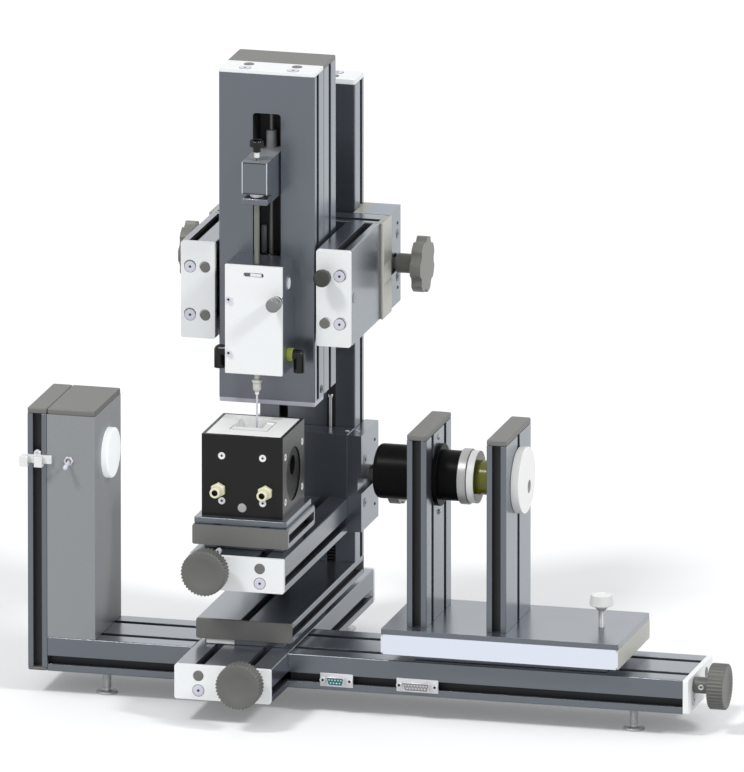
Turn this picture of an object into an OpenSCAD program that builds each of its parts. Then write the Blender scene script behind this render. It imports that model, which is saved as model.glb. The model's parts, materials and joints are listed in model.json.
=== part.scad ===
// Drop-shape surface tensiometer: a slotted aluminium base with a backlight at the
// left, a camera on a slide at the right, and a column stage between them that
// carries the sample chamber below and the dosing unit with its needle above.
// X runs along the base beam, Y from front to back, Z up.

/* [Profiles] */
// Width of every slotted profile
beam_w = 90; // [86:1:94]
// Thickness of the heavy profile
beam_t = 32; // [30:0.5:34]
// Thickness of the light profile
rail_t = 18.5; // [17.5:0.5:20]
// Distance between the two T-slots of a face
slot_pitch = 45; // [42:1:48]
// Width of a T-slot's mouth
slot_mouth = 8; // [7:0.5:9]
// Thickness of the lip over a T-slot
slot_lip = 3.5; // [3:0.5:4]
// Width of the T-slot's room under the lip
slot_room_w = 15; // [13:0.5:17]
// Depth of a T-slot in the heavy profile
slot_depth = 14; // [13.5:0.25:15]
// Height of the side slot's centre above the heavy profile's flat face
side_slot_in = 10.6; // [10:0.2:12]
// Width of the side slot's room under its lip
side_room_w = 12; // [10:0.5:12.5]
// Depth of the heavy profile's side slot
side_slot_depth = 9; // [7:0.5:11]
// Depth of a slot in the light profile
rail_slot_depth = 7; // [6:0.25:7.5]
// Width of the light profile's slot room
rail_room_w = 11; // [10:0.5:12]
// Thickness of the light profile's slot lip
rail_lip = 2.5; // [2:0.25:3]
// Diameter of the screw channels in the heavy profile
core_d = 7; // [5:0.5:8]
// Height of the screw channels above the flat face
core_in = 8.7; // [7:0.1:9]
// Width of the hollow down the middle of the heavy profile
hollow_w = 22; // [16:1:24]
// Wall left around that hollow
hollow_wall = 4; // [3:0.5:6]
// Thickness of the white end plates
plate_t = 5; // [4:0.5:6]
// Thickness of the grey end caps
cap_t = 3; // [2:0.5:4]
// Radius of a plate's corners
corner_r = 2; // [1:0.5:3]
// Radius of a profile's long edges
edge_r = 1.2; // [0.6:0.2:1.6]
// Diameter of the seat around a plate's screw
screw_seat_d = 11.2; // [9.6:0.2:11.6]
// Diameter of the seat around a plate's round cap
cap_seat_d = 9.8; // [9:0.2:10.6]
// Depth of those seats
seat_depth = 1.2; // [0.8:0.2:1.6]

/* [Base] */
// Length of the base beam
base_l = 595; // [570:1:640]
// Place of the cross-beam's left side along the base beam
stage_x = 136; // [125:1:140]
// Length of the cross-beam in front of the base beam
cross_front = 57; // [50:1:80]
// Length of the cross-beam behind the base beam
cross_back = 215; // [205:1:260]

/* [Feet] */
// Height of a foot under the base
foot_h = 23; // [20:0.5:30]
// Diameter of a foot's disc
foot_d = 19.5; // [17:0.5:24]
// Thickness of a foot's disc
foot_disc_t = 2.5; // [2:0.25:5]
// Diameter of the neck over a foot's disc
foot_neck_d = 7; // [6:0.5:8]
// Height of that neck
foot_neck_h = 3; // [2:0.5:5]
// Diameter of a foot's screw
foot_stud_d = 8; // [6:0.5:9]
// Length of the screw inside the beam
foot_grip = 4.5; // [3.5:0.25:4.75]
// Distance of the left foot from the base's left end
foot_left_in = 50; // [35:1:70]
// Distance of the right foot from the base's right end
foot_right_in = 51; // [35:1:70]
// Distance of the rear foot from the cross-beam's rear end
foot_back_in = 15; // [13:0.5:30]

/* [Knobs] */
// Diameter of a knurled drive knob
knob_d = 42; // [36:1:44]
// Thickness of a drive knob's grip
knob_t = 15; // [12:0.5:18]
// Diameter of a drive knob's hub
knob_hub_d = 15; // [12:0.5:18]
// Length of a drive knob's hub
knob_hub_l = 15.7; // [12:0.1:20]
// Chamfer on a drive knob's rims
knob_chamfer = 1.2; // [0.6:0.2:2]
// Diameter of the drive spindles
spindle_d = 6; // [5:0.25:6.5]
// Depth of the spindles under the slotted face
spindle_drop = 9.5; // [9:0.1:9.8]
// Diameter of a star knob
star_d = 52; // [46:1:56]
// Thickness of a star knob's grip
star_t = 10; // [8:0.5:12]
// Radius of the valleys between the lobes
star_valley_r = 7; // [5:0.5:8]
// Radius that rounds the lobes
star_round_r = 2; // [1:0.5:3]
// Diameter of a star knob's hub
star_hub_d = 18; // [15:0.5:20]
// Length of a star knob's hub
star_hub_l = 18; // [15:0.5:22]
// Diameter of a star knob's clamping stud
stud_d = 10; // [8:0.5:11]
// Radius that rounds the small knobs' front edges
small_knob_round = 2.5; // [1:0.25:2.5]

/* [Backlight] */
// Height of the optical axis over the base's underside
optic_z = 197; // [190:0.5:205]
// Height of the backlight's top
lamp_top = 246; // [240:1:256]
// Height of the camera posts' tops
post_top = 244; // [238:1:255]
// Thickness of the caps on the posts and of the housing's lid
post_cap_t = 5; // [4:0.5:6]
// Width of the backlight's housing
lamp_w = 45; // [40:1:60]
// Wall of the backlight's housing
lamp_wall = 5; // [4:0.5:6]
// Diameter of the white diffuser
diffuser_d = 46; // [40:1:60]
// Length of the diffuser outside the housing
diffuser_out = 6; // [4:0.5:10]
// Depth of the diffuser's seat in the housing
diffuser_in = 12; // [8:1:20]
// Place of the toggle switch across the housing
switch_x = 20.5; // [14:0.5:26]
// Height of the toggle switch over the base's underside
switch_z = 198.5; // [190:0.5:205]
// Length of the toggle lever outside the housing
lever_out = 12.5; // [11:0.5:16]
// Diameter of the toggle lever's tip
lever_tip_d = 4.4; // [3.6:0.2:5]
// Diameter of the toggle lever's ball
lever_ball_d = 7; // [6:0.2:7.4]
// Fall of the lever from level
lever_tilt = 12; // [8:1:14]

/* [Cable clip] */
// Height of the clip's middle over the base's underside
clip_z = 199; // [190:0.5:205]
// Width of the clip's bar
clip_bar_w = 28; // [24:0.5:30]
// Height of the clip's bar
clip_bar_h = 7.5; // [7:0.5:9]
// Thickness of the clip's bar
clip_bar_t = 4; // [3:0.5:6]
// Length of the clip beyond the post's left side
clip_over = 4.5; // [3:0.5:6]
// Width of one hook
clip_hook_w = 7.5; // [6:0.5:8]
// Distance from one hook to the next
clip_hook_step = 13.5; // [12:0.5:15]
// Length of a hook in front of the bar
clip_hook_out = 7; // [7:0.5:10]
// Wall of a hook
clip_wall = 1.8; // [1.2:0.2:2.4]
// Height of a hook
clip_hook_h = 9.5; // [9.5:0.5:12]

/* [Sockets] */
// Place of the nine-pin socket's centre along the base
socket_a_x = 271.7; // [255:0.5:300]
// Distance between the two sockets' centres
socket_step = 75.7; // [60:0.5:90]
// Width of the nine-pin socket's flange
socket_a_w = 30.8; // [28:0.2:34]
// Width of the fifteen-pin socket's flange
socket_b_w = 39.1; // [36:0.2:44]
// Height of a socket's flange
socket_h = 12.5; // [11:0.5:14]
// Height of a socket's centre over the base's underside
socket_z = 10; // [8:0.5:12]
// Thickness of a socket's flange
socket_flange_t = 1; // [0.8:0.1:1.5]
// Length of a socket's metal shell
socket_shell_l = 6; // [5:0.5:7]
// Height of a socket's metal shell
socket_shell_h = 8.4; // [7:0.2:9]
// Flange left at each side of the shell
socket_ear = 7; // [6:0.2:8]
// Thickness of the shell's metal
socket_skin = 0.6; // [0.4:0.1:0.8]

/* [Camera slide] */
// Place of the platform's left side
plat_x = 316.3; // [310:0.5:325]
// Length of the platform along the base
plat_l = 221.5; // [210:0.5:235]
// Distance of the platform's front edge in front of the base, and width of the front bar
plat_front = 13; // [8:0.5:20]
// Distance of the platform's rear edge behind the base, and width of the rear bar
plat_back = 13.5; // [8:0.5:20]
// Thickness of the platform
plat_t = 5; // [4:0.5:7]
// Gap between the base's top and the camera carriage
bar_lift = 9; // [7:0.5:11]
// Thickness of the end caps under the platform
bar_end_t = 2; // [1.5:0.5:3]
// Length of the slide block under the platform
camera_block_l = 180; // [160:1:190]
// Distance of the slide block from the platform's left side
camera_block_in = 26; // [20:1:30]
// Distance of the slide block from each side of the base beam
camera_block_side = 8; // [5:0.5:12]
// Distance of the first camera post from the platform's left side
post_a_in = 20.7; // [16:0.1:25]
// Clear space between the two camera posts
post_space = 56; // [52:0.5:62]
// Distance of the thumb screw from the platform's left side
thumb_in = 191.3; // [186:0.1:194]
// Diameter of the thumb screw's head at its foot
thumb_d = 22; // [20:0.5:25]
// Diameter of the head at its top
thumb_top_d = 19.5; // [17:0.5:20]
// Chamfer on the head's rims
thumb_chamfer = 0.8; // [0.4:0.2:1.2]
// Diameter of the hub under the head
thumb_hub_d = 11.5; // [9:0.5:14]
// Height of the hub under the head
thumb_hub_h = 2.5; // [2:0.5:4]
// Height of the cone between hub and shank
thumb_cone_h = 3; // [2:0.5:4]
// Height of the thumb screw's head
thumb_h = 10; // [8:0.5:13]
// Distance between the head and the platform
thumb_rise = 20.4; // [14:0.2:26]
// Diameter of the thumb screw's shank
thumb_shank_d = 5.5; // [5:0.5:7]

/* [Lens] */
// Diameter of the lens hood
hood_d = 50; // [44:1:56]
// Length of the lens hood in front of its post
hood_l = 38.4; // [34:0.2:44]
// Diameter of the hood's front opening
hood_mouth_d = 38; // [32:1:42]
// Depth of the hood's front opening
hood_mouth_l = 7; // [5:0.5:10]
// Chamfer on the hood's front rim
hood_chamfer = 4; // [2:0.5:5]
// Diameter of the barrel's neck through the post
neck_d = 40; // [34:1:42]
// Diameter of the flange behind the post
flange_d = 57; // [54:1:60]
// Thickness of the flange
flange_t = 4; // [3:0.5:6]
// Diameter of the rear barrel
barrel_d = 46; // [43:1:50]
// Length from the post to the end of the rear barrel
barrel_l = 22.5; // [20:0.5:26]
// Diameter of the focus ring
ring_d = 51; // [48:1:55]
// Width of the focus ring
ring_w = 8; // [6:0.5:10]
// Diameter of the barrel inside the focus ring
ring_seat_d = 38; // [34:1:40]
// Diameter of the adapter behind the focus ring
adapter_d = 48; // [44:1:52]
// Length of the adapter
adapter_l = 7; // [5:0.5:8]
// Diameter of the tube between adapter and second post
tube_d = 31.5; // [28:0.5:36]
// Diameter of the disc on the second post
disc_d = 61; // [56:1:66]
// Thickness of the disc on the second post
disc_t = 8; // [6:0.5:10]
// Diameter of the hole in the disc
disc_hole_d = 12; // [9:0.5:14]
// Distance of the disc's hole behind the optical axis
disc_hole_y = 8.7; // [6:0.1:12]
// Distance of the disc's hole under the optical axis
disc_hole_drop = 8.1; // [6:0.1:12]

/* [Column stage] */
// Gap between the cross-beam and the stage carriage
stage_gap = 5; // [4:0.5:7]
// Distance of the stage carriage's front behind the base's front face
stage_front = 13.5; // [0:0.5:20]
// Distance from the base's front face to the column's rear face
column_back = 270.5; // [262:0.5:276]
// Height of the column's top over the base's underside
column_top = 505; // [500:1:560]
// Width of the slide block under the stage
stage_block_w = 74; // [68:1:80]
// Length of the slide block under the stage
stage_block_l = 150; // [120:1:200]

/* [Sample bracket] */
// Height of the sample bracket's underside
clamp_z = 91; // [90:0.5:96]
// Height of the sample bracket's clamp
clamp_h = 92; // [88:0.5:96]
// Thickness of the clamp's front block
clamp_block_t = 27; // [22:0.5:30]
// Thickness of the sample clamp's right cheek
cheek_t = 13; // [11:0.5:16]
// Thickness of the sample clamp's left cheek
left_cheek_t = 8.5; // [7:0.5:13]
// Length of a clamp cheek behind the column
cheek_past = 2.5; // [2:0.5:6]
// Height of a clamp cheek
cheek_h = 90.5; // [86:0.5:94]
// Length of the cheek's key in the column's side slot
key_in = 3; // [2:0.25:3.25]
// Height of the sample star knob's axis
sample_star_z = 137; // [130:0.5:145]
// Distance of the star knobs' axes in front of the column's rear face
star_back = 20.5; // [19:0.5:23]
// Depth of the recess that a star knob's stud stands in
star_recess = 3.5; // [2:0.5:5]
// Distance between the sample clamp's cheek and its star knob's hub
sample_star_gap = 2; // [1:0.5:6]
// Length of the table beam in front of the clamp
table_beam_l = 221.5; // [215:0.5:240]

/* [Table] */
// Gap between the table beam and the table carriage
table_gap = 5.5; // [4:0.5:7]
// Length of the table carriage
table_l = 94; // [88:1:100]
// Distance of the table carriage behind the table beam's front end
table_in = 11; // [9:0.5:20]
// Distance of the top plate inside the carriage's left side
table_plate_left = 0.5; // [0:0.5:3]
// Distance of the top plate inside the carriage's right side
table_plate_in = 3; // [1:0.5:6]
// Distance of the top plate behind the carriage's front end
table_plate_front = 4; // [2:0.5:8]
// Thickness of the top plate
table_plate_t = 6; // [4:0.5:8]
// Width of the slide block under the table
table_block_w = 74; // [68:1:80]
// Length of the slide block under the table
table_block_l = 70; // [50:1:84]

/* [Chamber] */
// Side of the black sample chamber
cube_s = 76; // [74:1:78]
// Distance of the chamber behind the table plate's front edge
cube_in = 8.5; // [6:0.5:10]
// Distance of the chamber's middle to the left of the stage's middle
chamber_shift = 1.4; // [0:0.2:2]
// Wall of the chamber
cube_wall = 3.25; // [3:0.25:5]
// Diameter of the round windows in the chamber's sides
window_d = 49.2; // [46:0.2:51]
// Height of the windows' centre over the chamber's floor
window_rise = 34; // [33:0.5:38]
// Depth of the window ring behind the wall's face
window_sink = 1; // [0.5:0.25:2]
// Length of the window ring
window_ring_l = 8; // [7:0.5:9]
// Diameter of the window ring's bore
window_bore_d = 18; // [16:0.5:22]
// Height of the bore's and the light path's axis over the window's centre
window_bore_rise = 8; // [6:0.5:10]
// Thickness of the window's glass
glass_t = 2; // [1.5:0.5:3]
// Diameter of the light path through the insert
path_d = 24; // [22:0.5:26]
// Width of the shallow recess in the insert's top
recess_w = 34.5; // [32:0.5:40]
// Length of the shallow recess
recess_l = 32.5; // [30:0.5:36]
// Depth of the shallow recess
recess_drop = 1.5; // [1:0.5:4]
// Width of the well for the needle
well_w = 26; // [22:0.5:28]
// Distance of the well's front in front of the needle's axis
well_front = 9.5; // [9.5:0.5:12]
// Length of the well
well_l = 27; // [26:0.5:30]
// Depth of the well
well_depth = 56; // [50:1:60]
// Distance of a hose fitting from the chamber's middle
fitting_side = 22; // [18:0.5:26]
// Height of the hose fittings over the chamber's floor
fitting_rise = 24.6; // [20:0.1:30]
// Width across flats of a hose fitting
fitting_flats = 12; // [11:0.5:15]
// Length of a fitting's hexagon
fitting_hex_l = 5.5; // [4:0.5:8]
// Diameter of a fitting's tube
fitting_d = 10; // [8:0.5:11]
// Length of a fitting outside the chamber
fitting_l = 15; // [12:0.5:22]
// Bore of a hose fitting
fitting_bore_d = 5.5; // [4:0.5:6]
// Diameter of the round plug in the chamber's front
plug_d = 8.2; // [7:0.2:10]
// Length of the plug outside the chamber
plug_t = 0.8; // [0.4:0.1:1.5]
// Height of the plug over the chamber's floor
plug_rise = 8.8; // [8:0.2:13]

/* [Dosing bracket] */
// Height of the dosing bracket's underside
bracket_z = 297.3; // [297:0.1:310]
// Gap between the dosing unit and an arm
arm_gap = 2.5; // [2:0.25:3.5]
// Distance of the crossbar's flat face behind the base's front face
crossbar_y = 198; // [194:0.5:200]
// Thickness of the crossbar's end plates
crossbar_plate_t = 3.5; // [3:0.25:5]
// Length of a bracket arm
arm_l = 102.5; // [100:0.5:110]
// Thickness of the inner part of an upper clamp cheek
filler_t = 10.1; // [8:0.1:12]
// Height of the upper star knobs' axis over the bracket's underside
upper_star_rise = 40.5; // [34:0.5:50]
// Length of the left star knob's bare stud
left_star_gap = 10.6; // [6:0.2:14]
// Length of the right star knob's bare stud
right_star_gap = 2.6; // [1:0.2:6]
// Diameter of the arm's small drive knob
arm_knob_d = 16; // [13:0.5:18]
// Length of the arm's small drive knob
arm_knob_l = 18.7; // [15:0.1:22]

/* [Dosing unit] */
// Height of the dosing unit's profiles over the base's underside
dose_z = 242.4; // [242:0.1:246]
// Length of the dosing unit's profiles
dose_h = 304.2; // [290:0.5:320]
// Depth of the rear dosing profile
dose_rear_d = 43; // [36:1:50]
// Thickness of the dosing unit's top plates
dose_top_t = 3.1; // [2.5:0.1:4]
// Thickness of the dosing unit's bottom plate
dose_foot_t = 4; // [3:0.5:5]
// Width of the window that the syringe carriage runs in
slit_w = 26; // [25.6:0.2:28]
// Height of the window's lower end
slit_z = 373.5; // [370:0.5:376]
// Length of the window
slit_h = 136.5; // [134:0.5:140]
// Depth of the room behind the window
slit_depth = 27; // [24:0.5:28]
// Radius of the window's corners
slit_r = 3; // [2:0.5:4]
// Diameter of the lead screw
screw_d = 5; // [4:0.5:6]
// Distance of the lead screw behind the unit's front face
screw_in = 17.5; // [15:0.5:20]
// Length of the lead screw's journals beyond the window
journal_l = 14; // [10:1:20]

/* [Syringe] */
// Distance of the syringe's axis in front of the unit
syringe_out = 35; // [33:0.5:35.5]
// Width of the syringe carriage
carriage_w = 24; // [22:0.2:25]
// Height of the carriage's underside
carriage_z = 435; // [430:1:440]
// Height of the carriage
carriage_h = 40; // [36:1:44]
// Depth of the carriage's clamp in front of the syringe's axis
clamp_out = 8.5; // [7:0.5:10]
// Height of the step under the carriage's clamp
clamp_step = 10; // [6:1:14]
// Diameter of the carriage's nut
nut_d = 10; // [9:0.5:12]
// Height of the carriage's nut
nut_h = 16; // [12:1:18]
// Diameter of the plunger rod
plunger_d = 5; // [4:0.5:6]
// Length of the plunger rod inside the valve box
plunger_dip = 20; // [10:1:25]
// Diameter of the collar that grips the plunger
collar_d = 12.6; // [11:0.2:15]
// Height of the collar
collar_h = 4; // [3:0.5:6]
// Diameter of the plunger's cap
plunger_cap_d = 13; // [11:0.5:15]
// Height of the plunger's cap
plunger_cap_h = 6; // [4:0.5:8]
// Diameter of the neck under the plunger's cap
plunger_neck_d = 7; // [6:0.5:8]
// Height of the neck under the plunger's cap
plunger_neck_h = 5; // [3:0.5:7]
// Length of the plunger rod over the carriage
plunger_top = 8; // [5:0.5:12]

/* [Valve box] */
// Width of the valve box
valve_w = 53.5; // [50:0.5:60]
// Depth of the valve box with its cover
valve_d = 42.5; // [41.5:0.5:46]
// Height of the valve box's underside
valve_z = 276.5; // [270:0.5:280]
// Height of the valve box
valve_h = 101.5; // [98:0.5:104]
// Distance of the valve box's left side from the unit's left side
valve_in = 17; // [14:0.5:20]
// Thickness of the valve box's white cover
cover_t = 3.5; // [2.5:0.25:3.75]
// Radius of the cover's corners
cover_r = 0.5; // [0.5:0.25:2]
// Length of the sight slot in the cover
sight_l = 19; // [15:0.5:24]
// Width of the sight slot
sight_w = 4; // [3:0.5:5]
// Distance of the sight slot under the cover's top
sight_drop = 8.5; // [6:0.5:12]
// Diameter of the latch knob
latch_d = 13; // [11:0.5:15]
// Distance of the latch knob's front from the cover
latch_l = 20; // [15:0.5:24]
// Length of the latch knob's grip
latch_grip_l = 13; // [10:0.5:14]
// Diameter of the washer behind the latch knob
latch_washer_d = 10; // [8:0.5:12]
// Thickness of that washer
latch_washer_t = 1; // [0.5:0.25:2]
// Distance of the latch knob's axis from the box's right side
latch_in = 4; // [4:0.5:5.5]
// Height of the latch knob's axis over the box's underside
latch_rise = 70.5; // [62:0.5:76]
// Diameter of the latch knob's shank
latch_shank_d = 5; // [4:0.5:6]
// Height of the hose elbows' axis over the box's underside
elbow_rise = 15.5; // [12:0.5:20]
// Distance of the elbows' axis behind the cover's face
elbow_in = 21; // [18:0.5:26]
// Diameter of an elbow
elbow_d = 10.5; // [8:0.5:12]
// Distance of an elbow's fall from the box's side
elbow_out = 10.5; // [10:0.5:14]
// Length of an elbow's fall
elbow_fall = 16; // [12:0.5:20]
// Diameter of the stub between box and elbow
elbow_stub_d = 12.5; // [11:0.5:14]
// Length of that stub
elbow_stub_l = 5; // [4:0.5:6]
// Diameter of the round insert in the box's right side
inlet_d = 13; // [10:0.5:15]
// Length of the round insert outside the box
inlet_t = 0.6; // [0.4:0.1:1.2]
// Distance of the round insert under the box's top
inlet_drop = 19.4; // [16:0.2:24]
// Diameter of the neck over the needle's hub
hub_neck_d = 5; // [4:0.5:6]
// Height of the neck over the hub
hub_neck_h = 6.5; // [4:0.5:7]
// Diameter of the needle's hub
hub_d = 7.5; // [6.5:0.25:8.5]
// Diameter of the ring on top of the hub
hub_ring_d = 9.5; // [9:0.25:11]
// Height of that ring
hub_ring_h = 2; // [1.5:0.25:3]
// Diameter of the hub's lower end
hub_tip_d = 4.4; // [3.8:0.2:5.4]
// Height of the hub's taper
hub_taper_h = 4; // [3:0.5:6]
// Distance from the valve box to the hub's lower end
hub_l = 17.5; // [14:0.5:20]
// Diameter of the collar around the needle under the hub
needle_collar_d = 3.6; // [3:0.2:4.2]
// Height of that collar
needle_collar_h = 2.5; // [2:0.5:4]
// Diameter of the needle
needle_d = 1.8; // [1.4:0.1:2.4]
// Height of the needle's tip over the base's underside
needle_tip = 196; // [194:0.5:200]

/* [Fits] */
// Gap between pieces that slide on one another
run_gap = 0.3; // [0.25:0.05:0.35]
// Gap around a spindle in its bearing
bearing_gap = 0.1; // [0.05:0.01:0.1]

/* [Hidden] */
$fn = 64;
overrun = 1;
star_lobes = 7;
lever_root_share = 0.6;
shell_slope_share = 0.17;
slot_a = (beam_w - slot_pitch) / 2;
slot_b = slot_a + slot_pitch;
slot_lines = [slot_a, slot_b];
spindle_z = beam_t - spindle_drop;
bearing_d = spindle_d + 2 * bearing_gap;
knob_reach = run_gap + knob_hub_l + knob_t;
base_mid_y = beam_w / 2;
stage_mid = stage_x + beam_w / 2;
cross_l = cross_front + beam_w + cross_back;
cross_end = beam_w + cross_back;
low_x = -rail_t - clip_over;
high_x = base_l + plate_t + knob_reach;
low_y = -cross_front - plate_t - knob_reach;
high_y = cross_end + plate_t;
mid_x = (low_x + high_x) / 2;
mid_y = (low_y + high_y) / 2;
bar_z = beam_t + bar_lift;
plat_z = bar_z + rail_t;
plat_top = plat_z + plat_t;
plat_w = plat_front + beam_w + plat_back;
post_a_x = plat_x + post_a_in;
post_a_back = post_a_x + rail_t;
post_b_x = post_a_back + post_space;
camera_block_x = plat_x + camera_block_in;
camera_block_w = beam_w - 2 * camera_block_side;
ring_x = post_a_back + barrel_l;
adapter_x = ring_x + ring_w + 2 * run_gap;
stage_z = beam_t + stage_gap;
stage_top = stage_z + rail_t;
stage_l = column_back - stage_front;
column_y = column_back - beam_t;
star_y = column_back - star_back;
clamp_y = column_y - clamp_block_t;
table_beam_y = clamp_y - table_beam_l;
table_beam_z = clamp_z;
table_beam_top = table_beam_z + beam_t;
table_spindle_z = table_beam_top - spindle_drop;
table_y = table_beam_y + table_in;
table_z = table_beam_top + table_gap;
table_top = table_z + rail_t;
table_block_y = table_y + (table_l - table_block_l) / 2;
table_plate_y = table_y + table_plate_front;
chamber_mid = stage_mid - chamber_shift;
cube_x = chamber_mid - cube_s / 2;
cube_y = table_plate_y + cube_in;
cube_z = table_top + table_plate_t;
cube_mid_y = cube_y + cube_s / 2;
cube_top = cube_z + cube_s;
insert_s = cube_s - 2 * cube_wall;
window_z = cube_z + window_rise;
path_z = window_z + window_bore_rise;
bracket_half = beam_w / 2 + arm_gap + beam_t;
bracket_left = stage_mid - bracket_half;
bracket_right = stage_mid + bracket_half;
crossbar_back = crossbar_y + beam_t;
arm_y = crossbar_y - arm_l;
arm_inner = bracket_half - beam_t;
arm_spindle_x = stage_mid + arm_inner + spindle_drop;
upper_star_z = bracket_z + upper_star_rise;
unit_x = stage_mid - beam_w / 2;
unit_rear = arm_y + beam_t;
unit_top = dose_z + dose_h;
screw_y = arm_y + screw_in;
syringe_y = arm_y - syringe_out;
carriage_top = carriage_z + carriage_h;
valve_x = unit_x + valve_in;
valve_right = valve_x + valve_w;
valve_y = arm_y - valve_d;
valve_top = valve_z + valve_h;
elbow_y = valve_y + elbow_in;
elbow_z = valve_z + elbow_rise;
latch_x = valve_right - latch_in;
latch_z = valve_z + latch_rise;

// The object stands on z = 0 with the middle of its plan at the origin.
module stand() {
    translate([-mid_x, -mid_y, foot_h]) children();
}

// A second copy of a piece, mirrored across the stage's middle plane
module both_sides() {
    children();
    translate([2 * stage_mid, 0, 0]) mirror([1, 0, 0]) children();
}

// A second copy of a piece, mirrored across the chamber's middle plane
module both_walls() {
    children();
    translate([2 * chamber_mid, 0, 0]) mirror([1, 0, 0]) children();
}

// Extrudes an outline of width and height along X, from x = 0
module along_x(length) {
    rotate([90, 0, 90]) linear_extrude(length) children();
}

// Extrudes an outline of width and height along Y, from y = 0
module along_y(length) {
    translate([0, length, 0]) rotate([90, 0, 0]) linear_extrude(length) children();
}

// Turns a piece drawn along Z to point along +X
module point_right() {
    rotate([0, 90, 0]) children();
}

// Turns a piece drawn along Z to point along -X
module point_left() {
    rotate([0, -90, 0]) children();
}

// Turns a piece drawn along Z to point along -Y
module point_front() {
    rotate([90, 0, 0]) children();
}

module rounded_rect(w, h, r) {
    translate([r, 0]) square([w - 2 * r, h]);
    translate([0, r]) square([w, h - 2 * r]);
    for (x = [r, w - r], y = [r, h - r]) translate([x, y]) circle(r);
}

// A T-slot that runs down from y = 0
module slot_shape(lip, room_w, depth) {
    translate([-slot_mouth / 2, -depth]) square([slot_mouth, depth + overrun]);
    translate([-room_w / 2, -depth]) square([room_w, depth - lip]);
}

// The heavy profile's section: flat face at y = 0, two T-slots on top
module heavy_section(hollow = true) {
    difference() {
        rounded_rect(beam_w, beam_t, edge_r);
        for (x = slot_lines) {
            translate([x, beam_t]) slot_shape(slot_lip, slot_room_w, slot_depth);
            translate([x, core_in]) circle(d = core_d);
        }
        translate([0, side_slot_in]) rotate(90) slot_shape(slot_lip, side_room_w, side_slot_depth);
        translate([beam_w, side_slot_in]) rotate(-90) slot_shape(slot_lip, side_room_w, side_slot_depth);
        if (hollow) translate([(beam_w - hollow_w) / 2, hollow_wall])
            square([hollow_w, beam_t - 2 * hollow_wall]);
    }
}

// The light profile's section: one slot below, two on top, one in each side
module light_section() {
    difference() {
        rounded_rect(beam_w, rail_t, edge_r);
        for (x = slot_lines) translate([x, rail_t]) slot_shape(rail_lip, rail_room_w, rail_slot_depth);
        translate([beam_w / 2, 0]) rotate(180) slot_shape(rail_lip, rail_room_w, rail_slot_depth);
        translate([0, rail_t / 2]) rotate(90) slot_shape(rail_lip, rail_room_w, rail_slot_depth);
        translate([beam_w, rail_t / 2]) rotate(-90) slot_shape(rail_lip, rail_room_w, rail_slot_depth);
    }
}

// A white plate for the heavy profile's end, its outer face at z = thick: seats for the screws and
// for the caps over the slots, and a spindle's bearing on one slot line
module end_plate(thick, bearing_line) {
    seat_z = thick - seat_depth;
    difference() {
        linear_extrude(thick) rounded_rect(beam_w, beam_t, corner_r);
        for (x = slot_lines) {
            translate([x, core_in, seat_z]) cylinder(d = screw_seat_d, h = seat_depth + overrun);
            if (x != bearing_line)
                translate([x, spindle_z, seat_z]) cylinder(d = cap_seat_d, h = seat_depth + overrun);
        }
        if (bearing_line > 0) translate([bearing_line, spindle_z, -overrun])
            cylinder(d = bearing_d, h = thick + 2 * overrun);
    }
}

// A T-shaped runner that fits a heavy profile's slot, with room for the spindle
module runner_shape(above) {
    neck_w = slot_mouth - 2 * run_gap;
    room_w = slot_room_w - 2 * run_gap;
    difference() {
        union() {
            translate([-neck_w / 2, -slot_lip - 2 * run_gap]) square([neck_w, slot_lip + 2 * run_gap + above]);
            translate([-room_w / 2, run_gap - slot_depth])
                square([room_w, slot_depth - slot_lip - 2 * run_gap]);
        }
        translate([0, -spindle_drop]) circle(d = spindle_d + 2 * run_gap);
    }
}

// A knurled knob with its spindle, along Z, its hub's back at z = 0
module drive_knob(spindle_l) {
    hub_r = knob_hub_d / 2;
    grip_r = knob_d / 2;
    top = knob_hub_l + knob_t;
    rotate_extrude() polygon([
        [0, 0], [hub_r, 0], [hub_r, knob_hub_l],
        [grip_r - knob_chamfer, knob_hub_l], [grip_r, knob_hub_l + knob_chamfer],
        [grip_r, top - knob_chamfer], [grip_r - knob_chamfer, top], [0, top]
    ]);
    translate([0, 0, -spindle_l]) cylinder(d = spindle_d, h = spindle_l + knob_hub_l);
}

// Outline of the star knob's grip, one lobe towards -Y
module star_shape() {
    lobe_step = 360 / star_lobes;
    offset(r = star_round_r, $fn = 32) offset(delta = -star_round_r, $fn = 32) difference() {
        circle(d = star_d, $fn = 96);
        for (turn = [1:star_lobes]) rotate((turn + 0.5) * lobe_step - 90)
            translate([star_d / 2 + star_valley_r / 2, 0]) circle(star_valley_r, $fn = 32);
    }
}

// A star knob with its stud, along Z, its hub's back at z = 0
module star_knob(stud_l) {
    cylinder(d = star_hub_d, h = star_hub_l);
    translate([0, 0, -stud_l]) cylinder(d = stud_d, h = stud_l + overrun);
    translate([0, 0, star_hub_l]) linear_extrude(star_t) star_shape();
}

// A small smooth knob along Z, its back at z = 0, its front edge rounded
module small_knob(knob_w, knob_l) {
    face_r = knob_w / 2 - small_knob_round;
    side_l = knob_l - small_knob_round;
    rotate_extrude() {
        square([face_r, knob_l]);
        square([knob_w / 2, side_l]);
        translate([face_r, side_l]) circle(small_knob_round);
    }
}

// The blind bore in a beam's underside that a foot's screw turns in
module foot_bore() {
    translate([0, 0, -overrun])
        cylinder(d = foot_stud_d + 2 * bearing_gap, h = foot_grip + run_gap + overrun);
}

module base_beams() {
    right_x = stage_x + beam_w;
    color("lightslategray") stand() {
        difference() {
            along_x(stage_x) heavy_section();
            translate([foot_left_in, slot_a, 0]) foot_bore();
        }
        difference() {
            translate([right_x, 0, 0]) along_x(base_l - right_x) heavy_section();
            translate([base_l - foot_right_in, slot_a, 0]) foot_bore();
        }
    }
}

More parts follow.
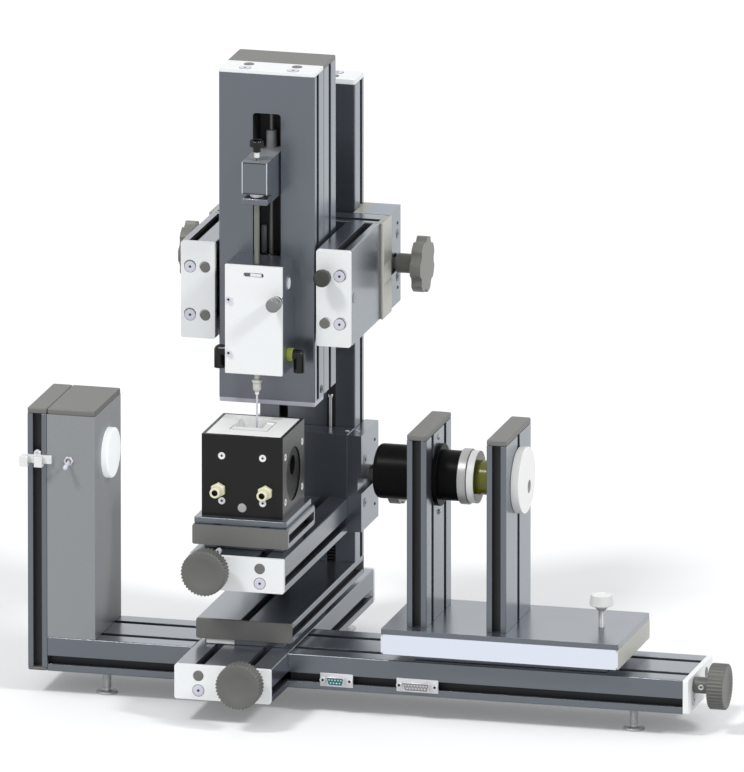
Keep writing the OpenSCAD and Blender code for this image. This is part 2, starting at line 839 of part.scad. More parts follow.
module cross_beam() {
    color("slategray") stand() difference() {
        translate([stage_x, -cross_front, 0]) along_y(cross_l) heavy_section();
        translate([stage_x + slot_b, cross_end - foot_back_in, 0]) foot_bore();
    }
}

module base_plates() {
    color("gainsboro") stand() {
        translate([base_l, 0, 0]) rotate([90, 0, 90]) end_plate(plate_t, slot_a);
        translate([stage_x, -cross_front, 0]) point_front() end_plate(plate_t, slot_b);
        translate([stage_x, cross_end, 0]) along_y(plate_t) rounded_rect(beam_w, beam_t, corner_r);
    }
}

module light_post() {
    color("dimgray") stand() translate([-rail_t, beam_w, cap_t]) rotate([0, 0, -90])
        linear_extrude(lamp_top - post_cap_t - cap_t) light_section();
}

module light_caps() {
    lid_z = lamp_top - post_cap_t;
    post_cap_w = rail_t - run_gap / 2;
    color("gray") stand() {
        translate([-rail_t, 0, 0]) linear_extrude(cap_t) rounded_rect(post_cap_w, beam_w, corner_r);
        translate([-rail_t, 0, lid_z])
            linear_extrude(post_cap_t) rounded_rect(post_cap_w, beam_w, corner_r);
        translate([run_gap / 2, 0, lid_z])
            linear_extrude(post_cap_t) rounded_rect(lamp_w - run_gap / 2, beam_w, corner_r);
    }
}

module backlight_housing() {
    housing_h = lamp_top - post_cap_t - beam_t;
    color("gray") stand() difference() {
        translate([0, 0, beam_t]) cube([lamp_w, beam_w, housing_h]);
        translate([lamp_wall, lamp_wall, beam_t - overrun])
            cube([lamp_w - 2 * lamp_wall, beam_w - 2 * lamp_wall, housing_h + 2 * overrun]);
        translate([lamp_w - diffuser_in, base_mid_y, optic_z])
            point_right() cylinder(d = diffuser_d, h = diffuser_in + overrun);
        translate([switch_x, lever_ball_d, switch_z])
            point_front() cylinder(d = lever_ball_d + 2 * run_gap, h = lever_ball_d + overrun);
    }
}

module backlight_diffuser() {
    color("white") stand() translate([lamp_w - diffuser_in, base_mid_y, optic_z])
        point_right() cylinder(d = diffuser_d, h = diffuser_in + diffuser_out);
}

module cable_clip() {
    hook_drop = clip_hook_h - clip_bar_h;
    color("whitesmoke") stand() translate([low_x, -clip_bar_t, clip_z - clip_bar_h / 2]) {
        cube([clip_bar_w, clip_bar_t, clip_bar_h]);
        for (x = [0, clip_hook_step]) difference() {
            translate([x, -clip_hook_out, -hook_drop])
                cube([clip_hook_w, clip_hook_out, clip_hook_h]);
            translate([x - overrun, clip_wall - clip_hook_out, clip_wall - hook_drop])
                cube([clip_hook_w + 2 * overrun, clip_hook_out - clip_wall, clip_hook_h - 2 * clip_wall]);
        }
        translate([clip_over + rail_t / 2 - slot_mouth / 2 + run_gap, clip_bar_t, 0])
            cube([slot_mouth - 2 * run_gap, rail_lip, clip_bar_h]);
    }
}

// One D-shaped socket: flange, metal shell and pin insert, around the origin
module socket(flange_w) {
    shell_w = flange_w - 2 * socket_ear;
    half_w = shell_w / 2;
    half_h = socket_shell_h / 2;
    slope = shell_slope_share * socket_shell_h;
    d_points = [
        [-half_w, half_h], [slope - half_w, -half_h], [half_w - slope, -half_h], [half_w, half_h]
    ];
    point_front() {
        translate([-flange_w / 2, -socket_h / 2, 0]) linear_extrude(socket_flange_t)
            rounded_rect(flange_w, socket_h, socket_flange_t);
        linear_extrude(socket_flange_t + socket_shell_l) difference() {
            polygon(d_points);
            offset(delta = -socket_skin) polygon(d_points);
        }
        linear_extrude(socket_shell_l) offset(delta = -socket_skin) polygon(d_points);
    }
}

module serial_sockets() {
    color("lightgray") stand() {
        translate([socket_a_x, 0, socket_z]) socket(socket_a_w);
        translate([socket_a_x + socket_step, 0, socket_z]) socket(socket_b_w);
    }
}

// A levelling foot with its screw, standing under z = 0
module foot() {
    stud_h = foot_h - foot_disc_t - foot_neck_h;
    translate([0, 0, -foot_h]) cylinder(d = foot_d, h = foot_disc_t);
    translate([0, 0, -foot_h]) cylinder(d = foot_neck_d, h = foot_disc_t + foot_neck_h + overrun);
    translate([0, 0, -stud_h]) cylinder(d = foot_stud_d, h = stud_h + foot_grip);
}

module foot_left() {
    color("dimgray") stand() translate([foot_left_in, slot_a, 0]) foot();
}

module foot_right() {
    color("dimgray") stand() translate([base_l - foot_right_in, slot_a, 0]) foot();
}

module foot_rear() {
    color("dimgray") stand() translate([stage_x + slot_b, cross_end - foot_back_in, 0]) foot();
}

module switch_lever() {
    color("silver") stand() translate([switch_x, lever_ball_d / 2, switch_z]) rotate([lever_tilt, 0, 0]) {
        sphere(d = lever_ball_d);
        point_front() cylinder(d1 = lever_root_share * lever_tip_d, d2 = lever_tip_d, h = lever_out + lever_ball_d / 2);
        translate([0, -lever_out - lever_ball_d / 2, 0]) sphere(d = lever_tip_d);
    }
}

module camera_knob() {
    color("dimgray") stand() translate([base_l + plate_t + run_gap, slot_a, spindle_z])
        point_right() drive_knob(base_l + plate_t - camera_block_x);
}

module camera_slide_block() {
    color("lightsteelblue") stand() difference() {
        union() {
            translate([plat_x + bar_end_t, 0, bar_z]) along_x(plat_l - 2 * bar_end_t) light_section();
            translate([camera_block_x, camera_block_side, beam_t + run_gap])
                cube([camera_block_l, camera_block_w, bar_lift - run_gap]);
            for (y = slot_lines) translate([camera_block_x, y, beam_t])
                along_x(camera_block_l) runner_shape(overrun);
        }
        translate([plat_x + thumb_in, base_mid_y, beam_t])
            cylinder(d = thumb_shank_d + 2 * bearing_gap, h = plat_z);
    }
}

module camera_bars() {
    bar_l = plat_l - 2 * bar_end_t;
    color("white") stand() {
        for (bar = [[-plat_front, plat_front], [beam_w, plat_back]])
            translate([plat_x + bar_end_t, bar[0], bar_z]) cube([bar_l, bar[1], rail_t]);
        for (x = [plat_x, plat_x + plat_l - bar_end_t]) translate([x, 0, bar_z]) {
            along_x(bar_end_t) rounded_rect(beam_w, rail_t, corner_r);
            translate([0, -plat_front, 0])
                along_x(bar_end_t) rounded_rect(plat_front, rail_t, corner_r);
            translate([0, beam_w, 0]) along_x(bar_end_t) rounded_rect(plat_back, rail_t, corner_r);
        }
    }
}

module camera_platform() {
    color("slategray") stand() difference() {
        translate([plat_x, -plat_front, plat_z]) linear_extrude(plat_t)
            rounded_rect(plat_l, plat_w, corner_r);
        translate([plat_x + thumb_in, base_mid_y, 0])
            cylinder(d = thumb_shank_d + 2 * bearing_gap, h = plat_top + overrun);
    }
}

module camera_posts() {
    post_h = post_top - post_cap_t - plat_top;
    color("lightslategray") stand() {
        difference() {
            translate([post_a_x, beam_w, plat_top]) rotate([0, 0, -90])
                linear_extrude(post_h) light_section();
            translate([post_a_x - overrun, base_mid_y, optic_z])
                point_right() cylinder(d = neck_d + 2 * bearing_gap, h = rail_t + 2 * overrun);
        }
        translate([post_b_x + rail_t, 0, plat_top]) rotate([0, 0, 90])
            linear_extrude(post_h) light_section();
    }
}

module camera_post_caps() {
    color("gray") stand() for (x = [post_a_x, post_b_x]) translate([x, 0, post_top - post_cap_t])
        linear_extrude(post_cap_t) rounded_rect(rail_t, beam_w, corner_r);
}

module lens_barrel() {
    hood_r = hood_d / 2;
    mouth_r = hood_mouth_d / 2;
    neck_r = neck_d / 2;
    flange_r = flange_d / 2;
    barrel_r = barrel_d / 2;
    seat_r = ring_seat_d / 2;
    back = rail_t + barrel_l;
    color("black") stand() translate([post_a_x, base_mid_y, optic_z]) point_right() rotate_extrude() polygon([
        [0, hood_mouth_l - hood_l], [mouth_r - hood_chamfer, hood_mouth_l - hood_l],
        [mouth_r, -hood_l], [hood_r - hood_chamfer, -hood_l],
        [hood_r, hood_chamfer - hood_l], [hood_r, 0], [neck_r, 0], [neck_r, rail_t],
        [flange_r, rail_t], [flange_r, rail_t + flange_t], [barrel_r, rail_t + flange_t],
        [barrel_r, back], [seat_r, back], [seat_r, adapter_x - post_a_x], [0, adapter_x - post_a_x]
    ]);
}

module focus_ring() {
    color("gray") stand() translate([ring_x + run_gap, base_mid_y, optic_z]) point_right() difference() {
        cylinder(d = ring_d, h = ring_w);
        translate([0, 0, -overrun])
            cylinder(d = ring_seat_d + 2 * bearing_gap, h = ring_w + 2 * overrun);
    }
}

module camera_tube() {
    tube_end = post_b_x - adapter_x;
    color("olive") stand() translate([adapter_x, base_mid_y, optic_z]) point_right() {
        cylinder(d = adapter_d, h = adapter_l);
        cylinder(d = tube_d, h = tube_end);
    }
}

module camera_disc() {
    color("white") stand() difference() {
        translate([post_b_x + rail_t, base_mid_y, optic_z]) point_right() cylinder(d = disc_d, h = disc_t);
        translate([post_b_x + rail_t + disc_t / 2, base_mid_y + disc_hole_y, optic_z - disc_hole_drop])
            point_right() cylinder(d = disc_hole_d, h = disc_t);
    }
}

module thumb_screw() {
    shank_r = thumb_shank_d / 2;
    hub_r = thumb_hub_d / 2;
    foot_r = thumb_d / 2;
    top_r = thumb_top_d / 2;
    color("whitesmoke") stand() translate([plat_x + thumb_in, base_mid_y, 0]) {
        translate([0, 0, beam_t + run_gap])
            cylinder(d = thumb_shank_d, h = plat_top + thumb_rise - beam_t);
        translate([0, 0, plat_top + thumb_rise]) rotate_extrude() polygon([
            [0, -thumb_hub_h - thumb_cone_h], [shank_r, -thumb_hub_h - thumb_cone_h],
            [hub_r, -thumb_hub_h], [hub_r, 0], [foot_r - thumb_chamfer, 0], [foot_r, thumb_chamfer],
            [top_r, thumb_h - thumb_chamfer], [top_r - thumb_chamfer, thumb_h], [0, thumb_h]
        ]);
    }
}

module stage_knob() {
    color("dimgray") stand()
        translate([stage_x + slot_b, -cross_front - plate_t - run_gap, spindle_z])
        point_front() drive_knob(cross_front + plate_t + stage_front + stage_block_l);
}

module stage_slide_block() {
    block_y = stage_front + cap_t;
    color("lightsteelblue") stand() {
        translate([stage_mid - stage_block_w / 2, block_y, beam_t + run_gap])
            cube([stage_block_w, stage_block_l, stage_gap - run_gap]);
        for (x = slot_lines) translate([stage_x + x, block_y, beam_t])
            along_y(stage_block_l) runner_shape(run_gap);
    }
}

module stage_carriage() {
    color("lightslategray") stand() translate([stage_x, stage_front + cap_t, stage_z])
        along_y(stage_l - 2 * cap_t) light_section();
}

module stage_end_plates() {
    color("gray") stand() {
        for (y = [stage_front, column_back - cap_t]) translate([stage_x, y, stage_z])
            along_y(cap_t) rounded_rect(beam_w, rail_t, corner_r);
        translate([stage_x + beam_w, column_back, column_top])
            rotate([0, 0, 180]) end_plate(plate_t, 0);
    }
}

module main_column() {
    color("slategray") stand() translate([stage_x + beam_w, column_back, stage_top])
        rotate([0, 0, 180]) linear_extrude(column_top - stage_top) heavy_section();
}

module sample_clamp_block() {
    color("slategray") stand() translate([stage_x, clamp_y, clamp_z])
        cube([beam_w, clamp_block_t - run_gap, clamp_h]);
}

// A cheek at the column's right side, with its key in the column's side slot
module sample_cheek(thick) {
    inner_x = stage_x + beam_w + run_gap;
    key_z = clamp_z + (clamp_h - cheek_h) / 2;
    translate([stage_x + beam_w, clamp_y, key_z])
        cube([thick, clamp_block_t - 2 * run_gap, cheek_h]);
    translate([inner_x, clamp_y, key_z])
        cube([thick - run_gap, column_back + cheek_past - clamp_y, cheek_h]);
    translate([inner_x - key_in, column_back - side_slot_in - slot_mouth / 2 + run_gap, key_z])
        cube([key_in + run_gap, slot_mouth - 2 * run_gap, cheek_h]);
}

module sample_clamp_cheeks() {
    recess_x = stage_x + beam_w + cheek_t - star_recess;
    color("lightgray") stand() {
        translate([2 * stage_mid, 0, 0]) mirror([1, 0, 0]) sample_cheek(left_cheek_t);
        difference() {
            sample_cheek(cheek_t);
            translate([recess_x, clamp_y - overrun, sample_star_z - star_hub_d / 2])
                cube([star_recess + overrun, star_y - clamp_y + overrun, star_hub_d]);
            translate([recess_x, star_y, sample_star_z])
                point_right() cylinder(d = star_hub_d, h = star_recess + overrun);
            translate([stage_x + beam_w - overrun, star_y, sample_star_z])
                point_right() cylinder(d = stud_d + 2 * bearing_gap, h = cheek_t + 2 * overrun);
        }
    }
}

module sample_star_knob() {
    stud_l = cheek_t + sample_star_gap - run_gap;
    color("gray") stand() translate([stage_x + beam_w + cheek_t + sample_star_gap, star_y, sample_star_z])
        point_right() star_knob(stud_l);
}

module table_beam() {
    color("slategray") stand() translate([stage_x, table_beam_y, table_beam_z])
        along_y(table_beam_l) heavy_section();
}

module table_beam_plate() {
    color("gainsboro") stand() translate([stage_x, table_beam_y, table_beam_z])
        point_front() end_plate(plate_t, slot_a);
}

module table_knob() {
    color("dimgray") stand()
        translate([stage_x + slot_a, table_beam_y - plate_t - run_gap, table_spindle_z])
        point_front() drive_knob(plate_t + table_in + table_l);
}

module table_slide_block() {
    color("lightsteelblue") stand() {
        translate([stage_mid - table_block_w / 2, table_block_y, table_beam_top + run_gap])
            cube([table_block_w, table_block_l, table_gap - run_gap]);
        for (x = slot_lines) translate([stage_x + x, table_block_y, table_beam_top])
            along_y(table_block_l) runner_shape(run_gap);
    }
}

module table_carriage() {
    color("lightslategray") stand() {
        translate([stage_x, table_y + cap_t, table_z]) along_y(table_l - 2 * cap_t) light_section();
        for (y = [table_y, table_y + table_l - cap_t]) translate([stage_x, y, table_z])
            along_y(cap_t) rounded_rect(beam_w, rail_t, corner_r);
    }
}

module table_plate() {
    plate_w = beam_w - table_plate_left - table_plate_in;
    color("slategray") stand() translate([stage_x + table_plate_left, table_plate_y, table_top])
        linear_extrude(table_plate_t) rounded_rect(plate_w, table_l - table_plate_front, corner_r);
}

module chamber_body() {
    color("dimgray") stand() difference() {
        translate([cube_x, cube_y, cube_z]) cube(cube_s);
        translate([cube_x + cube_wall, cube_y + cube_wall, cube_z + cube_wall])
            cube([insert_s, insert_s, cube_s]);
        translate([cube_x - overrun, cube_mid_y, window_z])
            point_right() cylinder(d = window_d, h = cube_s + 2 * overrun);
        for (side = [-1, 1]) translate([chamber_mid + side * fitting_side, cube_y, cube_z + fitting_rise])
            point_front() translate([0, 0, -cube_wall - overrun])
            cylinder(d = fitting_bore_d, h = cube_wall + 2 * overrun);
    }
}

module chamber_insert() {
    ring_end = window_sink + window_ring_l - cube_wall;
    recess_x = chamber_mid - recess_w / 2;
    color("white") stand() difference() {
        translate([cube_x + cube_wall, cube_y + cube_wall, cube_z + cube_wall])
            cube([insert_s, insert_s, cube_s - cube_wall]);
        translate([recess_x, cube_mid_y - recess_l / 2, cube_top - recess_drop])
            cube([recess_w, recess_l, recess_drop + overrun]);
        translate([recess_x, syringe_y - well_front, cube_top - well_depth])
            cube([well_w, well_l, well_depth + overrun]);
        translate([cube_x + cube_wall, cube_mid_y, path_z])
            point_right() cylinder(d = path_d, h = insert_s);
        both_walls() translate([cube_x + cube_wall - overrun, cube_mid_y, window_z])
            point_right() cylinder(d = window_d, h = ring_end + overrun);
    }
}

module chamber_windows() {
    color("black") stand() both_walls() difference() {
        translate([cube_x + window_sink, cube_mid_y, window_z])
            point_right() cylinder(d = window_d, h = window_ring_l);
        translate([cube_x, cube_mid_y, path_z]) point_right()
            cylinder(d = window_bore_d, h = window_sink + window_ring_l - glass_t);
    }
}

module hose_fittings() {
    color("beige") stand() {
        for (side = [-1, 1]) translate([chamber_mid + side * fitting_side, cube_y, cube_z + fitting_rise])
            point_front() difference() {
                union() {
                    rotate(30) cylinder(d = fitting_flats / cos(30), h = fitting_hex_l, $fn = 6);
                    cylinder(d = fitting_d, h = fitting_l);
                }
                translate([0, 0, -overrun]) cylinder(d = fitting_bore_d, h = fitting_l + 2 * overrun);
            }
        translate([chamber_mid, cube_y, cube_z + plug_rise]) point_front() cylinder(d = plug_d, h = plug_t);
    }
}

module dosing_crossbar() {
    bar_l = 2 * (bracket_half - crossbar_plate_t);
    color("slategray") stand()
        translate([bracket_left + crossbar_plate_t, crossbar_y, bracket_z + beam_w])
        rotate([0, 90, 0]) linear_extrude(bar_l) heavy_section();
}

module dosing_arms() {
    color("lightslategray") stand() both_sides() translate([bracket_left, arm_y, bracket_z])
        rotate([0, -90, -90]) linear_extrude(arm_l) heavy_section();
}

module bracket_plates() {
    color("gainsboro") stand() {
        both_sides() difference() {
            translate([bracket_left, crossbar_y, bracket_z])
                along_x(crossbar_plate_t) rounded_rect(beam_t, beam_w, corner_r);
            translate([bracket_left - overrun, crossbar_back - star_hub_d, upper_star_z - star_hub_d / 2])
                cube([crossbar_plate_t + 2 * overrun, star_hub_d + overrun, star_hub_d]);
        }
        translate([bracket_right, arm_y, bracket_z]) rotate([0, -90, 90]) end_plate(plate_t, slot_b);
        translate([bracket_left, arm_y, bracket_z])
            mirror([1, 0, 0]) rotate([0, -90, 90]) end_plate(plate_t, 0);
    }
}

module dosing_clamp_cheeks() {
    side_x = stage_x + beam_w + run_gap;
    cheek_w = bracket_right - side_x;
    color("lightgray") stand() both_sides() difference() {
        union() {
            translate([side_x, crossbar_back, bracket_z])
                cube([cheek_w, column_back - crossbar_back, beam_w]);
            translate([side_x - key_in, column_back - side_slot_in - slot_mouth / 2 + run_gap, bracket_z])
                cube([key_in + run_gap, slot_mouth - 2 * run_gap, beam_w]);
        }
        translate([bracket_right - star_recess, crossbar_back - overrun, upper_star_z - star_hub_d / 2])
            cube([star_recess + overrun, star_y - crossbar_back + overrun, star_hub_d]);
        translate([bracket_right - star_recess, star_y, upper_star_z])
            point_right() cylinder(d = star_hub_d, h = star_recess + overrun);
        translate([side_x - overrun, star_y, upper_star_z])
            point_right() cylinder(d = stud_d + 2 * bearing_gap, h = cheek_w + 2 * overrun);
        translate([side_x + filler_t, crossbar_back - overrun, bracket_z + beam_w - run_gap])
            cube([run_gap, column_back - crossbar_back + 2 * overrun, overrun]);
    }
}

module star_knob_right() {
    stud_l = bracket_right + right_star_gap - stage_x - beam_w - run_gap;
    color("gray") stand() translate([bracket_right + right_star_gap, star_y, upper_star_z])
        point_right() star_knob(stud_l);
}

module star_knob_left() {
    stud_l = stage_x - bracket_left + left_star_gap - run_gap;
    color("gray") stand() translate([bracket_left - left_star_gap, star_y, upper_star_z])
        point_left() star_knob(stud_l);
}

module arm_knob() {
    color("dimgray") stand() translate([arm_spindle_x, arm_y - plate_t - run_gap, bracket_z + slot_b])
        point_front() {
            small_knob(arm_knob_d, arm_knob_l);
            translate([0, 0, -arm_l]) cylinder(d = spindle_d, h = arm_l + overrun);
        }
}

module dosing_front_profile() {
    color("slategray") stand() difference() {
        translate([unit_x, arm_y, dose_z]) linear_extrude(dose_h) heavy_section(hollow = false);
        translate([stage_mid - slit_w / 2, arm_y - overrun, slit_z])
            along_y(slit_depth + overrun) rounded_rect(slit_w, slit_h, slit_r);
        translate([stage_mid, screw_y, slit_z - journal_l - run_gap])
            cylinder(d = screw_d + 2 * bearing_gap, h = slit_h + 2 * journal_l + 2 * run_gap);
    }
}

module dosing_rear_profile() {
    color("lightslategray") stand() translate([unit_x, unit_rear, dose_z]) linear_extrude(dose_h)
        difference() {
            rounded_rect(beam_w, dose_rear_d, edge_r);
            for (x = slot_lines) translate([x, dose_rear_d])
                slot_shape(slot_lip, slot_room_w, slot_depth);
            translate([0, dose_rear_d / 2]) rotate(90)
                slot_shape(slot_lip, side_room_w, side_slot_depth);
            translate([beam_w, dose_rear_d / 2]) rotate(-90)
                slot_shape(slot_lip, side_room_w, side_slot_depth);
            translate([(beam_w - hollow_w) / 2, hollow_wall])
                square([hollow_w, dose_rear_d - 2 * hollow_wall]);
        }
}

module dosing_plates() {
    sight_x = valve_x + valve_w / 2 - sight_l / 2;
    sight_z = valve_top - sight_drop;
    color("whitesmoke") stand() {
        translate([unit_x, arm_y, unit_top]) end_plate(dose_top_t, 0);
        translate([unit_x, unit_rear + run_gap, unit_top]) linear_extrude(dose_top_t)
            rounded_rect(beam_w, dose_rear_d - run_gap, corner_r);
        translate([unit_x, arm_y, dose_z - dose_foot_t]) linear_extrude(dose_foot_t)
            rounded_rect(beam_w, beam_t, corner_r);
        difference() {
            translate([valve_x, valve_y, valve_z]) along_y(cover_t) rounded_rect(valve_w, valve_h, cover_r);
            translate([sight_x, valve_y - overrun, sight_z - sight_w / 2])
                along_y(cover_t + 2 * overrun) {
                    translate([sight_w / 2, 0]) square([sight_l - sight_w, sight_w]);
                    for (x = [sight_w / 2, sight_l - sight_w / 2]) translate([x, sight_w / 2]) circle(d = sight_w);
                }
            translate([latch_x, valve_y + cover_t + overrun, latch_z])
                point_front() cylinder(d = latch_shank_d + 2 * run_gap, h = cover_t + 2 * overrun);
            translate([latch_x, valve_y - overrun, latch_z - latch_shank_d / 2 - run_gap])
                cube([latch_d, cover_t + 2 * overrun, latch_shank_d + 2 * run_gap]);
        }
    }
}

module dosing_runners() {
    pad_h = slot_room_w + slot_mouth;
    pad_x = unit_x + beam_w;
    pad_y = arm_y + beam_t;
    pad_t = arm_gap - run_gap;
    color("lightsteelblue") stand() both_sides() for (z = slot_lines) {
        translate([pad_x, pad_y, bracket_z + z - pad_h / 2]) cube([pad_t, dose_rear_d, pad_h]);
        translate([pad_x + pad_t + run_gap, pad_y, bracket_z + z])
            rotate([-90, 90, 0]) linear_extrude(dose_rear_d) runner_shape(run_gap + pad_t / 2);
    }
}

module lead_screw() {
    color("silver") stand() translate([stage_mid, screw_y, slit_z - journal_l])
        cylinder(d = screw_d, h = slit_h + 2 * journal_l);
}

module syringe_carriage() {
    arm_back = screw_y + nut_d / 2;
    clamp_front = syringe_y - clamp_out;
    left = stage_mid - carriage_w / 2;
    color("slategray") stand() difference() {
        union() {
            translate([left, clamp_front, carriage_z + clamp_step])
                cube([carriage_w, arm_back - clamp_front, carriage_h - clamp_step]);
            translate([left, syringe_y + collar_d / 2, carriage_z])
                cube([carriage_w, arm_back - syringe_y - collar_d / 2, carriage_h]);
            translate([stage_mid, screw_y, carriage_top]) cylinder(d = nut_d, h = nut_h);
        }
        translate([stage_mid, screw_y, carriage_z - overrun])
            cylinder(d = screw_d + 2 * bearing_gap, h = carriage_h + nut_h + 2 * overrun);
        translate([stage_mid, syringe_y, carriage_z - overrun])
            cylinder(d = plunger_d, h = carriage_h + 2 * overrun);
    }
}

module plunger() {
    low_z = valve_top - plunger_dip;
    neck_z = carriage_top + plunger_top;
    color("silver") stand() translate([stage_mid, syringe_y, 0]) {
        translate([0, 0, low_z]) cylinder(d = plunger_d, h = neck_z - low_z);
        translate([0, 0, carriage_z + clamp_step - collar_h]) cylinder(d = collar_d, h = collar_h);
        translate([0, 0, neck_z]) cylinder(d = plunger_neck_d, h = plunger_neck_h);
        translate([0, 0, neck_z + plunger_neck_h]) cylinder(d = plunger_cap_d, h = plunger_cap_h);
    }
}

module valve_box() {
    box_y = valve_y + cover_t;
    color("lightgray") stand() difference() {
        translate([valve_x, box_y, valve_z]) cube([valve_w, valve_d - cover_t, valve_h]);
        translate([stage_mid, syringe_y, valve_z + hub_l])
            cylinder(d = plunger_d + 2 * run_gap, h = valve_h);
        translate([latch_x, box_y + latch_l, latch_z])
            point_front() cylinder(d = latch_shank_d + 2 * run_gap, h = latch_l + overrun);
    }
}

module latch_knob() {
    color("gray") stand() translate([latch_x, valve_y - run_gap, latch_z]) point_front() {
        cylinder(d = latch_washer_d, h = latch_washer_t);
        translate([0, 0, latch_l - latch_grip_l]) small_knob(latch_d, latch_grip_l);
        translate([0, 0, -latch_l]) cylinder(d = latch_shank_d, h = 2 * latch_l - latch_grip_l + overrun);
    }
}

module hose_elbows() {
    color("black") stand() {
        translate([valve_right, elbow_y, elbow_z]) elbow();
        translate([valve_x, elbow_y, elbow_z]) mirror([1, 0, 0]) elbow();
        translate([valve_right, elbow_y, valve_top - inlet_drop])
            point_right() cylinder(d = inlet_d, h = inlet_t);
    }
}

// A stub that leaves the box along +X and an elbow that turns down
module elbow() {
    point_right() cylinder(d = elbow_stub_d, h = elbow_stub_l);
    point_right() cylinder(d = elbow_d, h = elbow_out);
    translate([elbow_out, 0, 0]) sphere(d = elbow_d);
    translate([elbow_out, 0, -elbow_fall]) cylinder(d = elbow_d, h = elbow_fall);
}

module needle() {
    ring_top = valve_z - hub_neck_h;
    hub_end = valve_z - hub_l;
    taper_top = hub_end + hub_taper_h;
    color("silver") stand() translate([stage_mid, syringe_y, 0]) {
        translate([0, 0, ring_top]) cylinder(d = hub_neck_d, h = hub_neck_h);
        translate([0, 0, ring_top - hub_ring_h]) cylinder(d = hub_ring_d, h = hub_ring_h);
        translate([0, 0, taper_top]) cylinder(d = hub_d, h = ring_top - taper_top);
        translate([0, 0, hub_end]) cylinder(d1 = hub_tip_d, d2 = hub_d, h = hub_taper_h);
        translate([0, 0, hub_end - needle_collar_h])
            cylinder(d = needle_collar_d, h = needle_collar_h + overrun);
        translate([0, 0, needle_tip]) cylinder(d = needle_d, h = hub_end - needle_tip);
    }
}

base_beams();
cross_beam();
base_plates();
light_post();
light_caps();
backlight_housing();
backlight_diffuser();
cable_clip();
serial_sockets();
foot_left();
foot_right();
foot_rear();
switch_lever();
camera_knob();
camera_slide_block();
camera_bars();
camera_platform();
camera_posts();
camera_post_caps();
lens_barrel();
focus_ring();
camera_tube();
camera_disc();
thumb_screw();
stage_knob();
stage_slide_block();
stage_carriage();
stage_end_plates();
main_column();
sample_clamp_block();
sample_clamp_cheeks();
sample_star_knob();
table_beam();
table_beam_plate();
table_knob();
table_slide_block();
table_carriage();
table_plate();
chamber_body();
chamber_insert();
chamber_windows();
hose_fittings();
dosing_crossbar();
dosing_arms();
bracket_plates();
dosing_clamp_cheeks();
star_knob_right();
star_knob_left();
arm_knob();
dosing_front_profile();
dosing_rear_profile();
dosing_plates();
dosing_runners();
lead_screw();
syringe_carriage();
plunger();
valve_box();
latch_knob();
hose_elbows();
needle();
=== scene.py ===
import json
import math
import bpy
from mathutils import Matrix, Vector

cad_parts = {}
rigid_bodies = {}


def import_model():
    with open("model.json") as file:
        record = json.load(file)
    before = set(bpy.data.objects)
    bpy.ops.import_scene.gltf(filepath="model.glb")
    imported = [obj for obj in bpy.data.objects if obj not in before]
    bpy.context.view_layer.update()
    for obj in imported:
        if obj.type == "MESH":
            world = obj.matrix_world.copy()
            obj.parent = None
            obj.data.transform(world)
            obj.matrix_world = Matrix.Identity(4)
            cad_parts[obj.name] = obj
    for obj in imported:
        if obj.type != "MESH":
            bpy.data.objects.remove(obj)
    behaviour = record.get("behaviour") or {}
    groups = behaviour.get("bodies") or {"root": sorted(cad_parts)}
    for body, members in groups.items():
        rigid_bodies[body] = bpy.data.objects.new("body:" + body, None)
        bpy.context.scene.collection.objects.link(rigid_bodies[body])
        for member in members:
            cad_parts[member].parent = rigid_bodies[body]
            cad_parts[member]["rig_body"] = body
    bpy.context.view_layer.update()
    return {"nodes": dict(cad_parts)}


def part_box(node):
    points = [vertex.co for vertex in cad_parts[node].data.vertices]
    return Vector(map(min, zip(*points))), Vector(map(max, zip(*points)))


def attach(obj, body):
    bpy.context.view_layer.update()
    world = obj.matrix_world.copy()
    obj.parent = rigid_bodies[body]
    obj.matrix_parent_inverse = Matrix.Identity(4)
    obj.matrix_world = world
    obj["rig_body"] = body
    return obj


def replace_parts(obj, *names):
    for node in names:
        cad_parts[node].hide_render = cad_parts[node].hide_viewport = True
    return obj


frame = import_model()
nodes = frame["nodes"]

# The view: the photograph is taken from far away, a little from the right and a little from above,
# so that upright edges stay upright and parallel.
view_turn = math.radians(14.75)
view_rise = math.radians(14.64)
view_distance = 29.17
view_target = Vector((-0.0256, -0.0085, 0.2836))
camera_data = bpy.data.cameras.new("view")
camera_data.lens = 1500
camera_data.sensor_width = 36
camera_data.clip_end = 60
camera = bpy.data.objects.new("view", camera_data)
bpy.context.scene.collection.objects.link(camera)
towards_eye = Vector((math.sin(view_turn) * math.cos(view_rise),
                      -math.cos(view_turn) * math.cos(view_rise),
                      math.sin(view_rise)))
camera.location = view_target + towards_eye * view_distance
camera.rotation_euler = (math.pi / 2 - view_rise, 0, view_turn)
bpy.context.scene.camera = camera
bpy.context.scene.view_settings.view_transform = "Standard"

# The room: white all round for the eye and for reflections, with a calmer light on matt surfaces,
# two broad suns from the upper left and the upper right, and a pale floor that takes the shadow.
white = (1, 1, 1, 1)
calm_colour, calm_strength = (0.96, 0.98, 1, 1), 0.55
suns = {"sun_left": (1.25, (-0.5, -0.8, 1.2)), "sun_right": (1.15, (1.0, -0.45, 0.85))}
sun_breadth = math.radians(10)
floor_size, floor_colour, floor_lift = 24, (0.84, 0.84, 0.84, 1), 0.16
world = bpy.data.worlds.new("white room")
bpy.context.scene.world = world
world.use_nodes = True
room = world.node_tree
room.nodes.clear()
seen = room.nodes.new("ShaderNodeLightPath")
seen_or_mirrored = room.nodes.new("ShaderNodeMath")
seen_or_mirrored.operation = "MAXIMUM"
through_too = room.nodes.new("ShaderNodeMath")
through_too.operation = "MAXIMUM"
room.links.new(seen.outputs["Is Camera Ray"], seen_or_mirrored.inputs[0])
room.links.new(seen.outputs["Is Glossy Ray"], seen_or_mirrored.inputs[1])
room.links.new(seen_or_mirrored.outputs[0], through_too.inputs[0])
